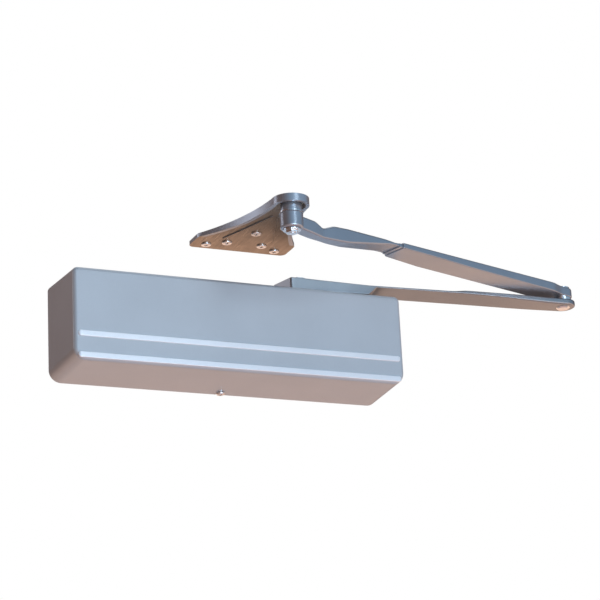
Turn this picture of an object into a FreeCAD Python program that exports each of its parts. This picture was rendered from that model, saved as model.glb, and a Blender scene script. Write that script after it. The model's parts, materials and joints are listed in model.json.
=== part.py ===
import FreeCAD, Part
import math
import os
import Sketcher
from FreeCAD import Placement, Rotation, Vector

# Surface door closer with a parallel arm and a soffit bracket.
#
# Row frame, in millimetres: the origin is the centre of the body's four fixing screws, on the
# face that lies against the door. +X runs along the closer towards the elbow of the arms,
# +Y goes into the door and +Z is up.
#
# Three local frames carry the moving chain, and each is only a Placement on its own pieces:
#   arm frame      origin on the spindle axis, x along the main arm towards the elbow
#   forearm frame  origin on the bracket pivot axis, x along the forearm towards the elbow
#   bracket frame  origin on the bracket pivot axis, y towards the back edge of the plate

DIMENSIONS = {
    # cover
    "cover_length": 318.0,
    "cover_height": 88.8,
    "cover_depth": 66.0,
    "cover_draft": 2.6,
    "cover_wall": 2.2,
    "cover_low_round": 11.0,
    "cover_top_round": 5.0,
    "cover_front_round": 3.4,
    "rib_height": 5.4,
    "rib_proud": 1.2,
    "rib_upper_level": -18.4,
    "rib_lower_level": -37.6,
    "cover_slot_width": 34.0,
    "cover_notch_width": 5.0,
    "cover_screw_inset": 6.5,
    # closer body
    "bore_inset": 33.0,
    "bore_radius": 19.0,
    "barrel_radius": 25.0,
    "barrel_left": -131.0,
    "barrel_right": 142.0,
    "foot_spacing_x": 228.6,
    "foot_spacing_z": 63.5,
    "foot_thickness": 10.0,
    "foot_width": 28.0,
    "foot_height": 81.0,
    "fixing_hole_radius": 3.3,
    "fixing_radius": 3.0,
    "fixing_reach": 16.0,
    "fixing_head_radius": 5.6,
    "fixing_head_height": 3.6,
    "pinion_offset": 70.0,
    "boss_radius": 20.0,
    "boss_half_height": 38.0,
    "bearing_bore_radius": 14.0,
    "bearing_height": 10.0,
    "pinion_cap_start": 30.2,
    "pinion_cap_radius": 16.0,
    "pinion_seal_radius": 11.0,
    "pinion_seal_height": 5.4,
    "end_cap_radius": 22.4,
    "end_cap_thickness": 5.0,
    "end_plug_length": 12.0,
    "valve_level": -61.0,
    "valve_radius": 2.9,
    "valve_spacing": 13.0,
    "valve_first": 104.0,
    # gear pair
    "gear_module": 2.0,
    "gear_teeth": 11.0,
    "gear_half_height": 13.0,
    "journal_radius": 8.0,
    "running_gap": 0.05,
    # piston
    "piston_left": 29.0,
    "piston_right": 124.0,
    "piston_gap": 0.06,
    # springs
    "seat_left": -106.0,
    "seat_thickness": 8.0,
    "outer_spring_radius": 15.0,
    "outer_wire_radius": 2.2,
    "outer_spring_turns": 11.0,
    "inner_spring_radius": 10.7,
    "inner_wire_radius": 1.2,
    "inner_spring_turns": 16.0,
    "adjuster_radius": 4.0,
    # arms
    "arm_length": 266.66,
    "arm_angle": -4.944,
    "forearm_length": 341.0,
    "forearm_angle": 17.4,
    "hub_end": 15.6,
    "hub_slant": 4.4,
    "hub_bottom": 47.0,
    "hub_top": 59.1,
    "arm_half_width": 12.5,
    "arm_end_bottom": 50.0,
    "arm_end_top": 55.8,
    "hub_recess_radius": 10.2,
    "hub_recess_floor": 55.6,
    "arm_end_radius": 11.5,
    "spindle_square": 12.6,
    "elbow_pin_radius": 5.0,
    "sleeve_width": 25.5,
    "sleeve_top": 68.1,
    "sleeve_bottom": 59.2,
    "sleeve_start": 121.0,
    "sleeve_wall": 1.1,
    "eye_radius": 9.3,
    "rod_width": 22.0,
    "rod_thickness": 2.5,
    "rod_end": 199.0,
    "forearm_hub_radius": 10.2,
    "forearm_hub_bottom": 59.2,
    "forearm_hub_top": 73.4,
    "pivot_radius": 6.0,
    "pivot_bush_wall": 1.5,
    # bracket
    "plate_top": 87.0,
    "plate_thickness": 3.6,
    "flange_bottom": 80.3,
    "nose_radius": 15.8,
    "bracket_boss_radius": 9.4,
    "plate_back": 126.0,
    "plate_half_width": 47.0,
    "outer_screw_x": 33.2,
    "outer_screw_y": 116.0,
    "inner_screw_x": 16.8,
    "inner_screw_y": 106.5,
    "centre_screw_y": 78.0,
    "bracket_hole_radius": 2.8,
    "bracket_screw_radius": 2.5,
    "bracket_head_radius": 4.7,
    "bracket_head_height": 1.3,
    "bead_width": 1.3,
    "bead_height": 0.8,
}

doc = FreeCAD.newDocument("DoorCloser")
sheet = doc.addObject("Spreadsheet::Sheet", "Dims")
for row, (alias, number) in enumerate(DIMENSIONS.items(), start=1):
    sheet.set(f"A{row}", str(number))
    sheet.setAlias(f"A{row}", alias)
doc.recompute()


class Dim:
    """A size that carries both its number and the expression that gives it."""

    def __init__(self, text, value):
        self.text = text
        self.value = value

    def join(self, sign, other, value):
        return Dim(f"({self.text} {sign} {other.text})", value)

    def __add__(self, other):
        other = as_dim(other)
        return self.join("+", other, self.value + other.value)

    def __radd__(self, other):
        return as_dim(other) + self

    def __sub__(self, other):
        other = as_dim(other)
        return self.join("-", other, self.value - other.value)

    def __rsub__(self, other):
        return as_dim(other) - self

    def __mul__(self, other):
        other = as_dim(other)
        return self.join("*", other, self.value * other.value)

    def __rmul__(self, other):
        return as_dim(other) * self

    def __truediv__(self, other):
        other = as_dim(other)
        return self.join("/", other, self.value / other.value)

    def __neg__(self):
        return Dim(f"(-1 * {self.text})", -self.value)


def as_dim(item):
    if isinstance(item, Dim):
        return item
    return Dim(repr(float(item)), float(item))


def dim(alias):
    return Dim(f"Dims.{alias}", DIMENSIONS[alias])


def cosine(angle):
    return Dim(f"cos({angle.text})", math.cos(math.radians(angle.value)))


def sine(angle):
    return Dim(f"sin({angle.text})", math.sin(math.radians(angle.value)))


def bind(thing, prop, size):
    thing.setExpression(prop, as_dim(size).text)


ALONG_X = Rotation(Vector(0, 1, 0), 90)
ALONG_Y = Rotation(Vector(1, 0, 0), -90)
ALONG_Z = Rotation()

SUB_PARTS = {}


def sub_part(thing, label):
    """Register a finished document object as the sub-part called label."""
    thing.Label = label
    SUB_PARTS[label] = thing
    return thing


# ---------------------------------------------------------------- Part primitives and booleans

def place(thing, x, y, z, turn=ALONG_Z):
    thing.Placement = Placement(Vector(0, 0, 0), turn)
    for axis, size in zip("xyz", (x, y, z)):
        bind(thing, f"Placement.Base.{axis}", size)
    return thing


def cylinder(radius, length, x, y, z, turn=ALONG_Z):
    thing = doc.addObject("Part::Cylinder", "Cylinder")
    bind(thing, "Radius", radius)
    bind(thing, "Height", length)
    return place(thing, x, y, z, turn)


def cone(radius_1, radius_2, length, x, y, z, turn=ALONG_Z):
    thing = doc.addObject("Part::Cone", "Cone")
    bind(thing, "Radius1", radius_1)
    bind(thing, "Radius2", radius_2)
    bind(thing, "Height", length)
    return place(thing, x, y, z, turn)


def torus(ring, tube, x, y, z, turn=ALONG_Z):
    thing = doc.addObject("Part::Torus", "Torus")
    bind(thing, "Radius1", ring)
    bind(thing, "Radius2", tube)
    return place(thing, x, y, z, turn)


def box(x0, x1, y0, y1, z0, z1):
    thing = doc.addObject("Part::Box", "Box")
    bind(thing, "Length", as_dim(x1) - x0)
    bind(thing, "Width", as_dim(y1) - y0)
    bind(thing, "Height", as_dim(z1) - z0)
    return place(thing, x0, y0, z0)


def hexagon(across_flats, length, x, y, z, turn=ALONG_Z):
    thing = doc.addObject("Part::Prism", "Prism")
    thing.Polygon = 6
    bind(thing, "Circumradius", as_dim(across_flats) / math.sqrt(3))
    bind(thing, "Height", length)
    return place(thing, x, y, z, turn)


def fuse(*pieces):
    thing = doc.addObject("Part::MultiFuse", "Fusion")
    thing.Shapes = list(pieces)
    thing.Refine = True
    return thing


def cut(base, *tools):
    thing = doc.addObject("Part::Cut", "Cut")
    thing.Base = base
    thing.Tool = tools[0] if len(tools) == 1 else fuse(*tools)
    thing.Refine = True
    return thing


def tube(outer, inner, length, x, y, z, turn=ALONG_Z):
    return cut(cylinder(outer, length, x, y, z, turn), cylinder(inner, length, x, y, z, turn))


# ---------------------------------------------------------------- PartDesign helpers

def new_body(label):
    return sub_part(doc.addObject("PartDesign::Body", label), label)


def place_body(thing, x, y, angle=0.0):
    """Put a piece that was drawn in a local frame where that frame stands."""
    thing.Placement = Placement(Vector(0, 0, 0), Rotation(Vector(0, 0, 1), 1))
    bind(thing, "Placement.Base.x", x)
    bind(thing, "Placement.Base.y", y)
    bind(thing, "Placement.Rotation.Angle", angle)


def new_sketch(body, role, offset=0.0):
    """A sketch on one of the body's own origin planes, moved along that plane's normal."""
    sketch = body.newObject("Sketcher::SketchObject", "Sketch")
    plane = [item for item in body.Origin.OriginFeatures if item.Role == role][0]
    sketch.AttachmentSupport = (plane, [""])
    sketch.MapMode = "FlatFace"
    bind(sketch, "AttachmentOffset.Base.z", offset)
    return sketch


def fix_point(sketch, geometry, vertex, x, y):
    """Tie one vertex of a sketch to the sketch's origin by sheet-driven distances."""
    for kind, axis, size in (("DistanceX", -2, as_dim(x)), ("DistanceY", -1, as_dim(y))):
        if abs(size.value) < 1e-9:
            sketch.addConstraint(Sketcher.Constraint("PointOnObject", geometry, vertex, axis))
            continue
        index = sketch.addConstraint(
            Sketcher.Constraint(kind, -1, 1, geometry, vertex, size.value))
        bind(sketch, f"Constraints[{index}]", size)


def add_circle(sketch, x, y, radius):
    x, y, radius = as_dim(x), as_dim(y), as_dim(radius)
    circle = Part.Circle(Vector(x.value, y.value, 0), Vector(0, 0, 1), radius.value)
    geometry = sketch.addGeometry(circle)
    fix_point(sketch, geometry, 3, x, y)
    index = sketch.addConstraint(Sketcher.Constraint("Radius", geometry, radius.value))
    bind(sketch, f"Constraints[{index}]", radius)


def add_polygon(sketch, points):
    """A closed outline of straight edges through points, each a pair of sizes."""
    points = [(as_dim(x), as_dim(y)) for x, y in points]
    corners = [Vector(x.value, y.value, 0) for x, y in points]
    first = sketch.GeometryCount
    count = len(corners)
    for index in range(count):
        sketch.addGeometry(Part.LineSegment(corners[index], corners[(index + 1) % count]))
    for index in range(count):
        following = (index + 1) % count
        sketch.addConstraint(
            Sketcher.Constraint("Coincident", first + index, 2, first + following, 1))
    for index, (x, y) in enumerate(points):
        fix_point(sketch, first + index, 1, x, y)


def add_rectangle(sketch, x0, x1, y0, y1):
    add_polygon(sketch, [(x0, y0), (x1, y0), (x1, y1), (x0, y1)])


def add_outline(sketch, steps):
    """A closed outline of lines and arcs. Each step is an end point, with the middle point of
    an arc before it where the edge is round, and the outline starts at the last end point."""
    first = sketch.GeometryCount
    start = steps[-1][-1]
    ends = []
    for step in steps:
        end = step[-1]
        points = [Vector(as_dim(x).value, as_dim(y).value, 0) for x, y in (start, *step)]
        if len(points) == 3:
            sketch.addGeometry(Part.Arc(*points))
        else:
            sketch.addGeometry(Part.LineSegment(*points))
        ends.append((points[0], points[-1], start))
        start = end
    count = len(steps)
    for index in range(count):
        low, high = vertex_order(sketch, first + index, ends[index][0])
        next_low, _ = vertex_order(sketch, first + (index + 1) % count, ends[index][1])
        sketch.addConstraint(Sketcher.Constraint(
            "Coincident", first + index, high, first + (index + 1) % count, next_low))
        fix_point(sketch, first + index, low, *ends[index][2])


def vertex_order(sketch, geometry, begin):
    """Which of an edge's two vertices lies at begin, and which is the other one."""
    if sketch.getPoint(geometry, 1).distanceToPoint(begin) < 1e-4:
        return 1, 2
    return 2, 1


def volume_of(body):
    doc.recompute()
    return body.Shape.Volume


def pad(body, sketch, length, reverse=False, both_sides=False):
    feature = body.newObject("PartDesign::Pad", "Pad")
    feature.Profile = sketch
    feature.Reversed = reverse
    feature.Midplane = both_sides
    bind(feature, "Length", length)
    sketch.Visibility = False
    return feature


def pocket(body, sketch, length=None, reverse=False):
    """Cut the sketch away, through everything or to a depth, and make sure that it cut."""
    before = volume_of(body)
    feature = body.newObject("PartDesign::Pocket", "Pocket")
    feature.Profile = sketch
    feature.Reversed = reverse
    if length is None:
        feature.Type = "ThroughAll"
        feature.Midplane = True
    else:
        bind(feature, "Length", length)
    if volume_of(body) >= before - 1e-3:
        raise RuntimeError(f"{body.Label}: {feature.Name} cuts nothing")
    return feature


def loft(body, kind, sketches):
    feature = body.newObject(f"PartDesign::{kind}", "Loft")
    feature.Profile = sketches[0]
    feature.Sections = sketches[1:]
    feature.Ruled = True
    return feature


def dress(body, kind, size, test):
    """A Fillet or a Chamfer on the edges for which test(edge) holds."""
    doc.recompute()
    base = body.Tip
    names = [f"Edge{index}" for index, edge in enumerate(base.Shape.Edges, start=1) if test(edge)]
    if not names:
        raise RuntimeError(f"{body.Label}: no edge to {kind}")
    feature = body.newObject(f"PartDesign::{kind}", kind)
    feature.Base = (base, names)
    bind(feature, "Radius" if kind == "Fillet" else "Size", size)
    return feature


def level(edge, height, axis="z", slack=0.01):
    """True where the whole edge lies at one height along an axis."""
    limits = edge.BoundBox
    low = getattr(limits, axis.upper() + "Min")
    high = getattr(limits, axis.upper() + "Max")
    return abs(low - height) < slack and abs(high - height) < slack


def upright(edge, axis="z", slack=0.01):
    """True where the edge is a straight line along an axis."""
    limits = edge.BoundBox
    spans = {name: getattr(limits, name.upper() + "Length") for name in "xyz"}
    along = spans.pop(axis)
    return along > 0.1 and max(spans.values()) < slack


# ---------------------------------------------------------------- places shared by the pieces

bore_y = -dim("bore_inset")
spindle_x = dim("pinion_offset")
elbow_x = spindle_x + dim("arm_length") * cosine(dim("arm_angle"))
elbow_y = bore_y + dim("arm_length") * sine(dim("arm_angle"))
pivot_x = elbow_x - dim("forearm_length") * cosine(dim("forearm_angle"))
pivot_y = elbow_y - dim("forearm_length") * sine(dim("forearm_angle"))
gap = dim("running_gap")


def in_arm_frame(thing):
    place_body(thing, spindle_x, bore_y, dim("arm_angle"))


def in_forearm_frame(thing):
    place_body(thing, pivot_x, pivot_y, dim("forearm_angle"))


def in_bracket_frame(thing):
    place_body(thing, pivot_x, pivot_y)


# ---------------------------------------------------------------- cover

def rounded_rectangle(half_x, low, high, low_round, top_round):
    """Outline steps of a rectangle whose two lower and two upper corners are rounded alike."""
    half_x, low, high = as_dim(half_x), as_dim(low), as_dim(high)
    low_round, top_round = as_dim(low_round), as_dim(top_round)
    bend = 1 - math.sqrt(0.5)
    return [
        ((half_x - low_round, low),),
        ((half_x - low_round * bend, low + low_round * bend), (half_x, low + low_round)),
        ((half_x, high - top_round),),
        ((half_x - top_round * bend, high - top_round * bend), (half_x - top_round, high)),
        ((top_round - half_x, high),),
        ((top_round * bend - half_x, high - top_round * bend), (-half_x, high - top_round)),
        ((-half_x, low + low_round),),
        ((low_round * bend - half_x, low + low_round * bend), (low_round - half_x, low)),
    ]


def cover_sketch(body, inset, depth):
    """The cover's outline at one depth from the door, drawn in by the draft and by inset."""
    draft = dim("cover_draft") * depth / dim("cover_depth")
    half_x = dim("cover_length") / 2 - draft - inset
    half_z = dim("cover_height") / 2 - draft - inset
    sketch = new_sketch(body, "XZ_Plane", depth)
    add_outline(sketch, rounded_rectangle(half_x, -half_z, half_z,
                                          dim("cover_low_round") - inset,
                                          dim("cover_top_round") - inset))
    return sketch


def make_cover():
    body = new_body("cover")
    depth = dim("cover_depth")
    wall = dim("cover_wall")
    loft(body, "AdditiveLoft", [cover_sketch(body, 0.0, 0.0), cover_sketch(body, 0.0, depth)])
    dress(body, "Fillet", dim("cover_front_round"),
          lambda edge: level(edge, -depth.value, "y"))
    before = volume_of(body)
    loft(body, "SubtractiveLoft",
         [cover_sketch(body, wall, 0.0), cover_sketch(body, wall, depth - wall)])
    if volume_of(body) >= before / 2:
        raise RuntimeError("cover: the shell is not hollow")
    half_rib = dim("cover_length") / 2 - dim("cover_draft") - dim("cover_front_round")
    for height in (dim("rib_upper_level"), dim("rib_lower_level")):
        sketch = new_sketch(body, "XZ_Plane", depth - wall / 2)
        half_height = dim("rib_height") / 2
        add_rectangle(sketch, -half_rib, half_rib, height - half_height, height + half_height)
        pad(body, sketch, wall / 2 + dim("rib_proud"))
    front = -depth.value - dim("rib_proud").value
    dress(body, "Fillet", 1.0, lambda edge: level(edge, front, "y"))
    slot = new_sketch(body, "XY_Plane", dim("cover_height") / 2 - 6)
    slot_half = dim("cover_slot_width") / 2
    add_outline(slot, [
        ((spindle_x + slot_half, 4.0),),
        ((spindle_x + slot_half, bore_y),),
        ((spindle_x, bore_y - slot_half), (spindle_x - slot_half, bore_y)),
        ((spindle_x - slot_half, 4.0),),
    ])
    pocket(body, slot, 12.0, reverse=True)
    notch = new_sketch(body, "XY_Plane", -dim("cover_height") / 2 - 4)
    notch_half = dim("cover_notch_width") / 2
    add_outline(notch, [
        ((notch_half, 4.0),),
        ((notch_half, -dim("cover_screw_inset")),),
        ((0.0, -dim("cover_screw_inset") - notch_half), (-notch_half, -dim("cover_screw_inset"))),
        ((-notch_half, 4.0),),
    ])
    pocket(body, notch, 8.0, reverse=True)
    return body


# ---------------------------------------------------------------- screws

def cross_points(x, y, arm, half):
    """The twelve corners of a cross recess centred on (x, y)."""
    x, y = as_dim(x), as_dim(y)
    corners = [(arm, -half), (arm, half), (half, half), (half, arm), (-half, arm), (-half, half)]
    corners += [(-a, -b) for a, b in corners]
    return [(x + a, y + b) for a, b in corners]


def make_screws(label, role, centres, seat, head, shank, recess):
    """Round-headed cross-recessed screws, one solid at each centre.

    seat is where the heads bear, measured along the plane's normal. head is (radius, height,
    side), with side 1 where the heads stand on the normal's side of the seat. shank is
    (radius, length) and recess is (arm, half width, depth).
    """
    body = new_body(label)
    head_radius, head_height, side = head
    shank_radius, shank_length = shank
    arm, half, depth = recess
    heads = new_sketch(body, role, seat)
    shanks = new_sketch(body, role, seat)
    crosses = new_sketch(body, role, as_dim(seat) + as_dim(head_height) * side)
    for x, y in centres:
        add_circle(heads, x, y, head_radius)
        add_circle(shanks, x, y, shank_radius)
        add_polygon(crosses, cross_points(x, y, arm, half))
    pad(body, heads, head_height, reverse=side < 0)
    pad(body, shanks, shank_length, reverse=side > 0)
    axis = "z" if role == "XY_Plane" else "y"
    top = (as_dim(seat).value + as_dim(head_height).value * side) * (1 if axis == "z" else -1)
    tip = (as_dim(seat).value - as_dim(shank_length).value * side) * (1 if axis == "z" else -1)
    dress(body, "Fillet", as_dim(head_height) * 0.7, lambda edge: level(edge, top, axis))
    dress(body, "Chamfer", as_dim(shank_radius) * 0.3, lambda edge: level(edge, tip, axis))
    pocket(body, crosses, depth, reverse=side < 0)
    return body


def foot_centres():
    half_x = dim("foot_spacing_x") / 2
    half_z = dim("foot_spacing_z") / 2
    return [(-half_x, -half_z), (half_x, -half_z), (half_x, half_z), (-half_x, half_z)]


def bracket_centres():
    outer_y = dim("outer_screw_y")
    inner_y = dim("inner_screw_y")
    return [(-dim("outer_screw_x"), outer_y), (-dim("inner_screw_x"), inner_y),
            (as_dim(0.0), dim("centre_screw_y")),
            (dim("inner_screw_x"), inner_y), (dim("outer_screw_x"), outer_y)]


def make_body_screws():
    """Shoulder screws: the shoulder fills the foot's hole and the thread goes into the door."""
    foot = dim("foot_thickness")
    body = make_screws("body_screws", "XZ_Plane", foot_centres(), foot,
                       (dim("fixing_head_radius"), dim("fixing_head_height"), 1),
                       (dim("fixing_radius"), foot + dim("fixing_reach")), (3.0, 0.7, 2.2))
    shoulders = new_sketch(body, "XZ_Plane", foot)
    for x, z in foot_centres():
        add_circle(shoulders, x, z, dim("fixing_hole_radius") - 0.1)
    pad(body, shoulders, foot, reverse=True)


def make_cover_screw():
    lean = dim("cover_draft") / dim("cover_depth")
    head = 4.0
    seat = -dim("cover_height") / 2 + lean * (dim("cover_screw_inset") - head)
    make_screws("cover_screw", "XY_Plane", [(as_dim(0.0), -dim("cover_screw_inset"))], seat,
                (head, 2.2, -1), (1.95, 12.0), (2.2, 0.5, 1.5))


def make_bracket_screws():
    body = make_screws(
        "bracket_screws", "XY_Plane", bracket_centres(), dim("plate_top") - dim("plate_thickness"),
        (dim("bracket_head_radius"), dim("bracket_head_height"), -1),
        (dim("bracket_screw_radius"), dim("plate_thickness") + 3.0), (2.2, 0.55, 1.9))
    in_bracket_frame(body)


# ---------------------------------------------------------------- closer body and what it holds

def along_bore(radius, x0, x1):
    """A cylinder on the bore's axis from x0 to x1."""
    return cylinder(radius, as_dim(x1) - x0, x0, bore_y, 0.0, ALONG_X)


def along_spindle(radius, z0, z1):
    """A cylinder on the spindle's axis from z0 to z1."""
    return cylinder(radius, as_dim(z1) - z0, spindle_x, bore_y, z0)


def rounded_box(radius, axis, *sides):
    """A box whose four edges along one axis are rounded."""
    base = box(*sides)
    doc.recompute()
    thing = doc.addObject("Part::Fillet", "Rounded")
    thing.Base = base
    thing.Edges = [(index, radius, radius)
                   for index, edge in enumerate(base.Shape.Edges, start=1) if upright(edge, axis)]
    return thing


def make_closer_body():
    left, right = dim("barrel_left"), dim("barrel_right")
    half_foot = dim("foot_width") / 2
    half_high = dim("foot_height") / 2
    half_boss = dim("boss_half_height")
    solids = [
        along_bore(dim("barrel_radius"), left, right),
        box(left + 6, right - 6, bore_y, 0.0, -17.0, 17.0),
        along_spindle(dim("boss_radius"), -half_boss, half_boss),
        rounded_box(5.0, "y", spindle_x - 24, spindle_x + 24, bore_y + 8, 0.0, -36.0, 36.0),
        rounded_box(2.0, "y", -8.0, 8.0, -15.0, -1.0, -41.4, -12.0),
        rounded_box(6.0, "y", dim("valve_first") - 9, dim("valve_first") + dim("valve_spacing") * 2
                    + 9, dim("valve_level"), bore_y, -9.0, 9.0),
    ]
    for side in (-1, 1):
        middle = dim("foot_spacing_x") / 2 * side
        solids.append(rounded_box(6.0, "y", middle - half_foot, middle + half_foot,
                                  -dim("foot_thickness"), 0.0, -half_high, half_high))
    holes = [
        along_bore(dim("bore_radius"), left - 1, right + 1),
        along_spindle(dim("bearing_bore_radius"), -half_boss - 1, half_boss + 1),
        cylinder(2.0, 16.0, 0.0, -dim("cover_screw_inset"), -43.0),
    ]
    for x, z in foot_centres():
        holes.append(cylinder(dim("fixing_hole_radius"), dim("foot_thickness") + 2,
                              x, -dim("foot_thickness") - 1, z, ALONG_Y))
    for step in range(3):
        holes.append(cylinder(dim("valve_radius") + gap, 8.0,
                              dim("valve_first") + dim("valve_spacing") * step,
                              dim("valve_level") - 1, 0.0, ALONG_Y))
    sub_part(cut(fuse(*solids), *holes), "closer_body")


def make_bearings():
    height = dim("bearing_height")
    for label, low in (("upper_bearing", height * 2), ("lower_bearing", -height * 3)):
        sub_part(tube(dim("bearing_bore_radius") - gap, dim("journal_radius") + gap, height,
                      spindle_x, bore_y, low), label)


def make_pinion_caps():
    thread = dim("bearing_bore_radius") - 0.1
    passage = dim("journal_radius") + 0.4
    seal_room = dim("pinion_seal_radius") + gap
    flange = dim("pinion_cap_radius")
    start = dim("pinion_cap_start")
    floor = dim("bearing_height") * 3
    half_boss = dim("boss_half_height")
    top = half_boss + 3.4
    upper = fuse(along_spindle(thread, start, half_boss), along_spindle(flange, half_boss, top))
    spanner = box(spindle_x - flange - 2, spindle_x + flange + 2, bore_y - 2.5, bore_y + 2.5,
                  top - 1.6, top + 0.6)
    sub_part(cut(upper, along_spindle(passage, floor, top + 0.6),
                 along_spindle(seal_room, floor, floor + 6), spanner), "upper_pinion_cap")
    lower = fuse(along_spindle(thread, -half_boss, -start),
                 along_spindle(flange, -half_boss - 1.6, -half_boss))
    sub_part(cut(lower, along_spindle(passage, -floor - 6.6, -floor),
                 along_spindle(seal_room, -floor - 6, -floor)), "lower_pinion_cap")


def make_pinion_seals():
    height = dim("pinion_seal_height")
    start = dim("pinion_cap_start") + 0.2
    for label, low in (("upper_pinion_seal", start), ("lower_pinion_seal", -start - height)):
        sub_part(tube(dim("pinion_seal_radius"), dim("journal_radius") + gap / 2, height,
                      spindle_x, bore_y, low), label)


def make_end_caps():
    left, right = dim("barrel_left"), dim("barrel_right")
    plug = dim("bore_radius") - 0.1
    floor = dim("bore_radius") - 2.7
    length = dim("end_plug_length")
    head, thickness = dim("end_cap_radius"), dim("end_cap_thickness")
    groove = cut(along_bore(dim("bore_radius"), left + 4, left + 7),
                 along_bore(floor, left + 3, left + 8))
    cap = fuse(along_bore(plug, left, left + length), along_bore(head, left - thickness, left))
    sub_part(cut(cap, along_bore(5.05, left - thickness - 1, left + length + 1),
                 along_bore(7.05, left + 8, left + 10), groove), "left_end_cap")
    groove = cut(along_bore(dim("bore_radius"), right - 7, right - 4),
                 along_bore(floor, right - 8, right - 3))
    cap = fuse(along_bore(plug, right - length, right), along_bore(head, right, right + thickness))
    socket = hexagon(14.0, 8.0, right - 2, bore_y, 0.0, ALONG_X)
    sub_part(cut(cap, socket, groove), "right_end_cap")


def make_body_seals():
    left, right = dim("barrel_left"), dim("barrel_right")
    ring = dim("bore_radius") - 1.4
    sub_part(torus(ring, 1.28, left + 5.5, bore_y, 0.0, ALONG_X), "left_cap_oring")
    sub_part(torus(ring, 1.28, right - 5.5, bore_y, 0.0, ALONG_X), "right_cap_oring")
    sub_part(tube(7.0, 5.03, 1.9, left + 8.05, bore_y, 0.0, ALONG_X), "adjuster_seal")


# ---------------------------------------------------------------- gear pair

PRESSURE_ANGLE = math.radians(20.0)
FLANK_CLEARANCE = 0.013
RACK_ADDENDUM = 1.2
RACK_DEDENDUM = 2.3


def involute(angle):
    return math.tan(angle) - angle


def tooth_half_angle(radius, pitch_radius):
    """Half the angle that an involute tooth takes up at a radius."""
    base = pitch_radius * math.cos(PRESSURE_ANGLE)
    slope = math.acos(min(1.0, base / radius))
    quarter = math.pi / (2 * DIMENSIONS["gear_teeth"])
    return quarter + involute(PRESSURE_ANGLE) - involute(slope) - FLANK_CLEARANCE


def on_circle(radius, angle):
    return radius * math.cos(angle), radius * math.sin(angle)


def make_pinion():
    body = new_body("pinion")
    half = dim("gear_half_height")
    module = DIMENSIONS["gear_module"]
    pitch_radius = module * DIMENSIONS["gear_teeth"] / 2
    tip_radius = pitch_radius + module
    root_radius = pitch_radius - 0.85 * module
    journal = new_sketch(body, "XY_Plane", -35.0)
    add_circle(journal, 0.0, 0.0, dim("journal_radius"))
    pad(body, journal, 77.0)
    core = new_sketch(body, "XY_Plane", -half)
    add_circle(core, 0.0, 0.0, root_radius)
    pad(body, core, half * 2)
    # One tooth points at the rack when the arm is at rest.
    facing = math.radians(-90.0 - DIMENSIONS["arm_angle"])
    root = tooth_half_angle(pitch_radius * math.cos(PRESSURE_ANGLE), pitch_radius)
    middle = tooth_half_angle(pitch_radius + 0.3 * module, pitch_radius)
    tip = tooth_half_angle(tip_radius, pitch_radius)
    inside = root_radius - 0.6
    base_radius = pitch_radius * math.cos(PRESSURE_ANGLE)
    flank_radius = pitch_radius + 0.3 * module
    tooth = new_sketch(body, "XY_Plane", -half)
    add_outline(tooth, [
        (on_circle(base_radius, facing + root),),
        (on_circle(flank_radius, facing + middle), on_circle(tip_radius, facing + tip)),
        (on_circle(tip_radius, facing - tip),),
        (on_circle(flank_radius, facing - middle), on_circle(base_radius, facing - root)),
        (on_circle(inside, facing - root),),
        (on_circle(inside, facing + root),),
    ])
    first = pad(body, tooth, half * 2)
    wheel = body.newObject("PartDesign::PolarPattern", "Teeth")
    wheel.Originals = [first]
    wheel.Axis = ([item for item in body.Origin.OriginFeatures if item.Role == "Z_Axis"][0], [""])
    wheel.Angle = 360
    bind(wheel, "Occurrences", dim("gear_teeth"))
    body.Tip = wheel
    square = new_sketch(body, "XY_Plane", 42.0)
    reach = dim("spindle_square") / 2
    clipped = reach - 1.6
    corners = [(reach, -clipped), (reach, clipped), (clipped, reach), (-clipped, reach)]
    add_polygon(square, corners + [(-x, -y) for x, y in corners])
    square_top = dim("hub_recess_floor") - 1
    pad(body, square, square_top - 42.0)
    hole = new_sketch(body, "XY_Plane", square_top)
    add_circle(hole, 0.0, 0.0, 4.0)
    pocket(body, hole, 14.0)
    in_arm_frame(body)


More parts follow.
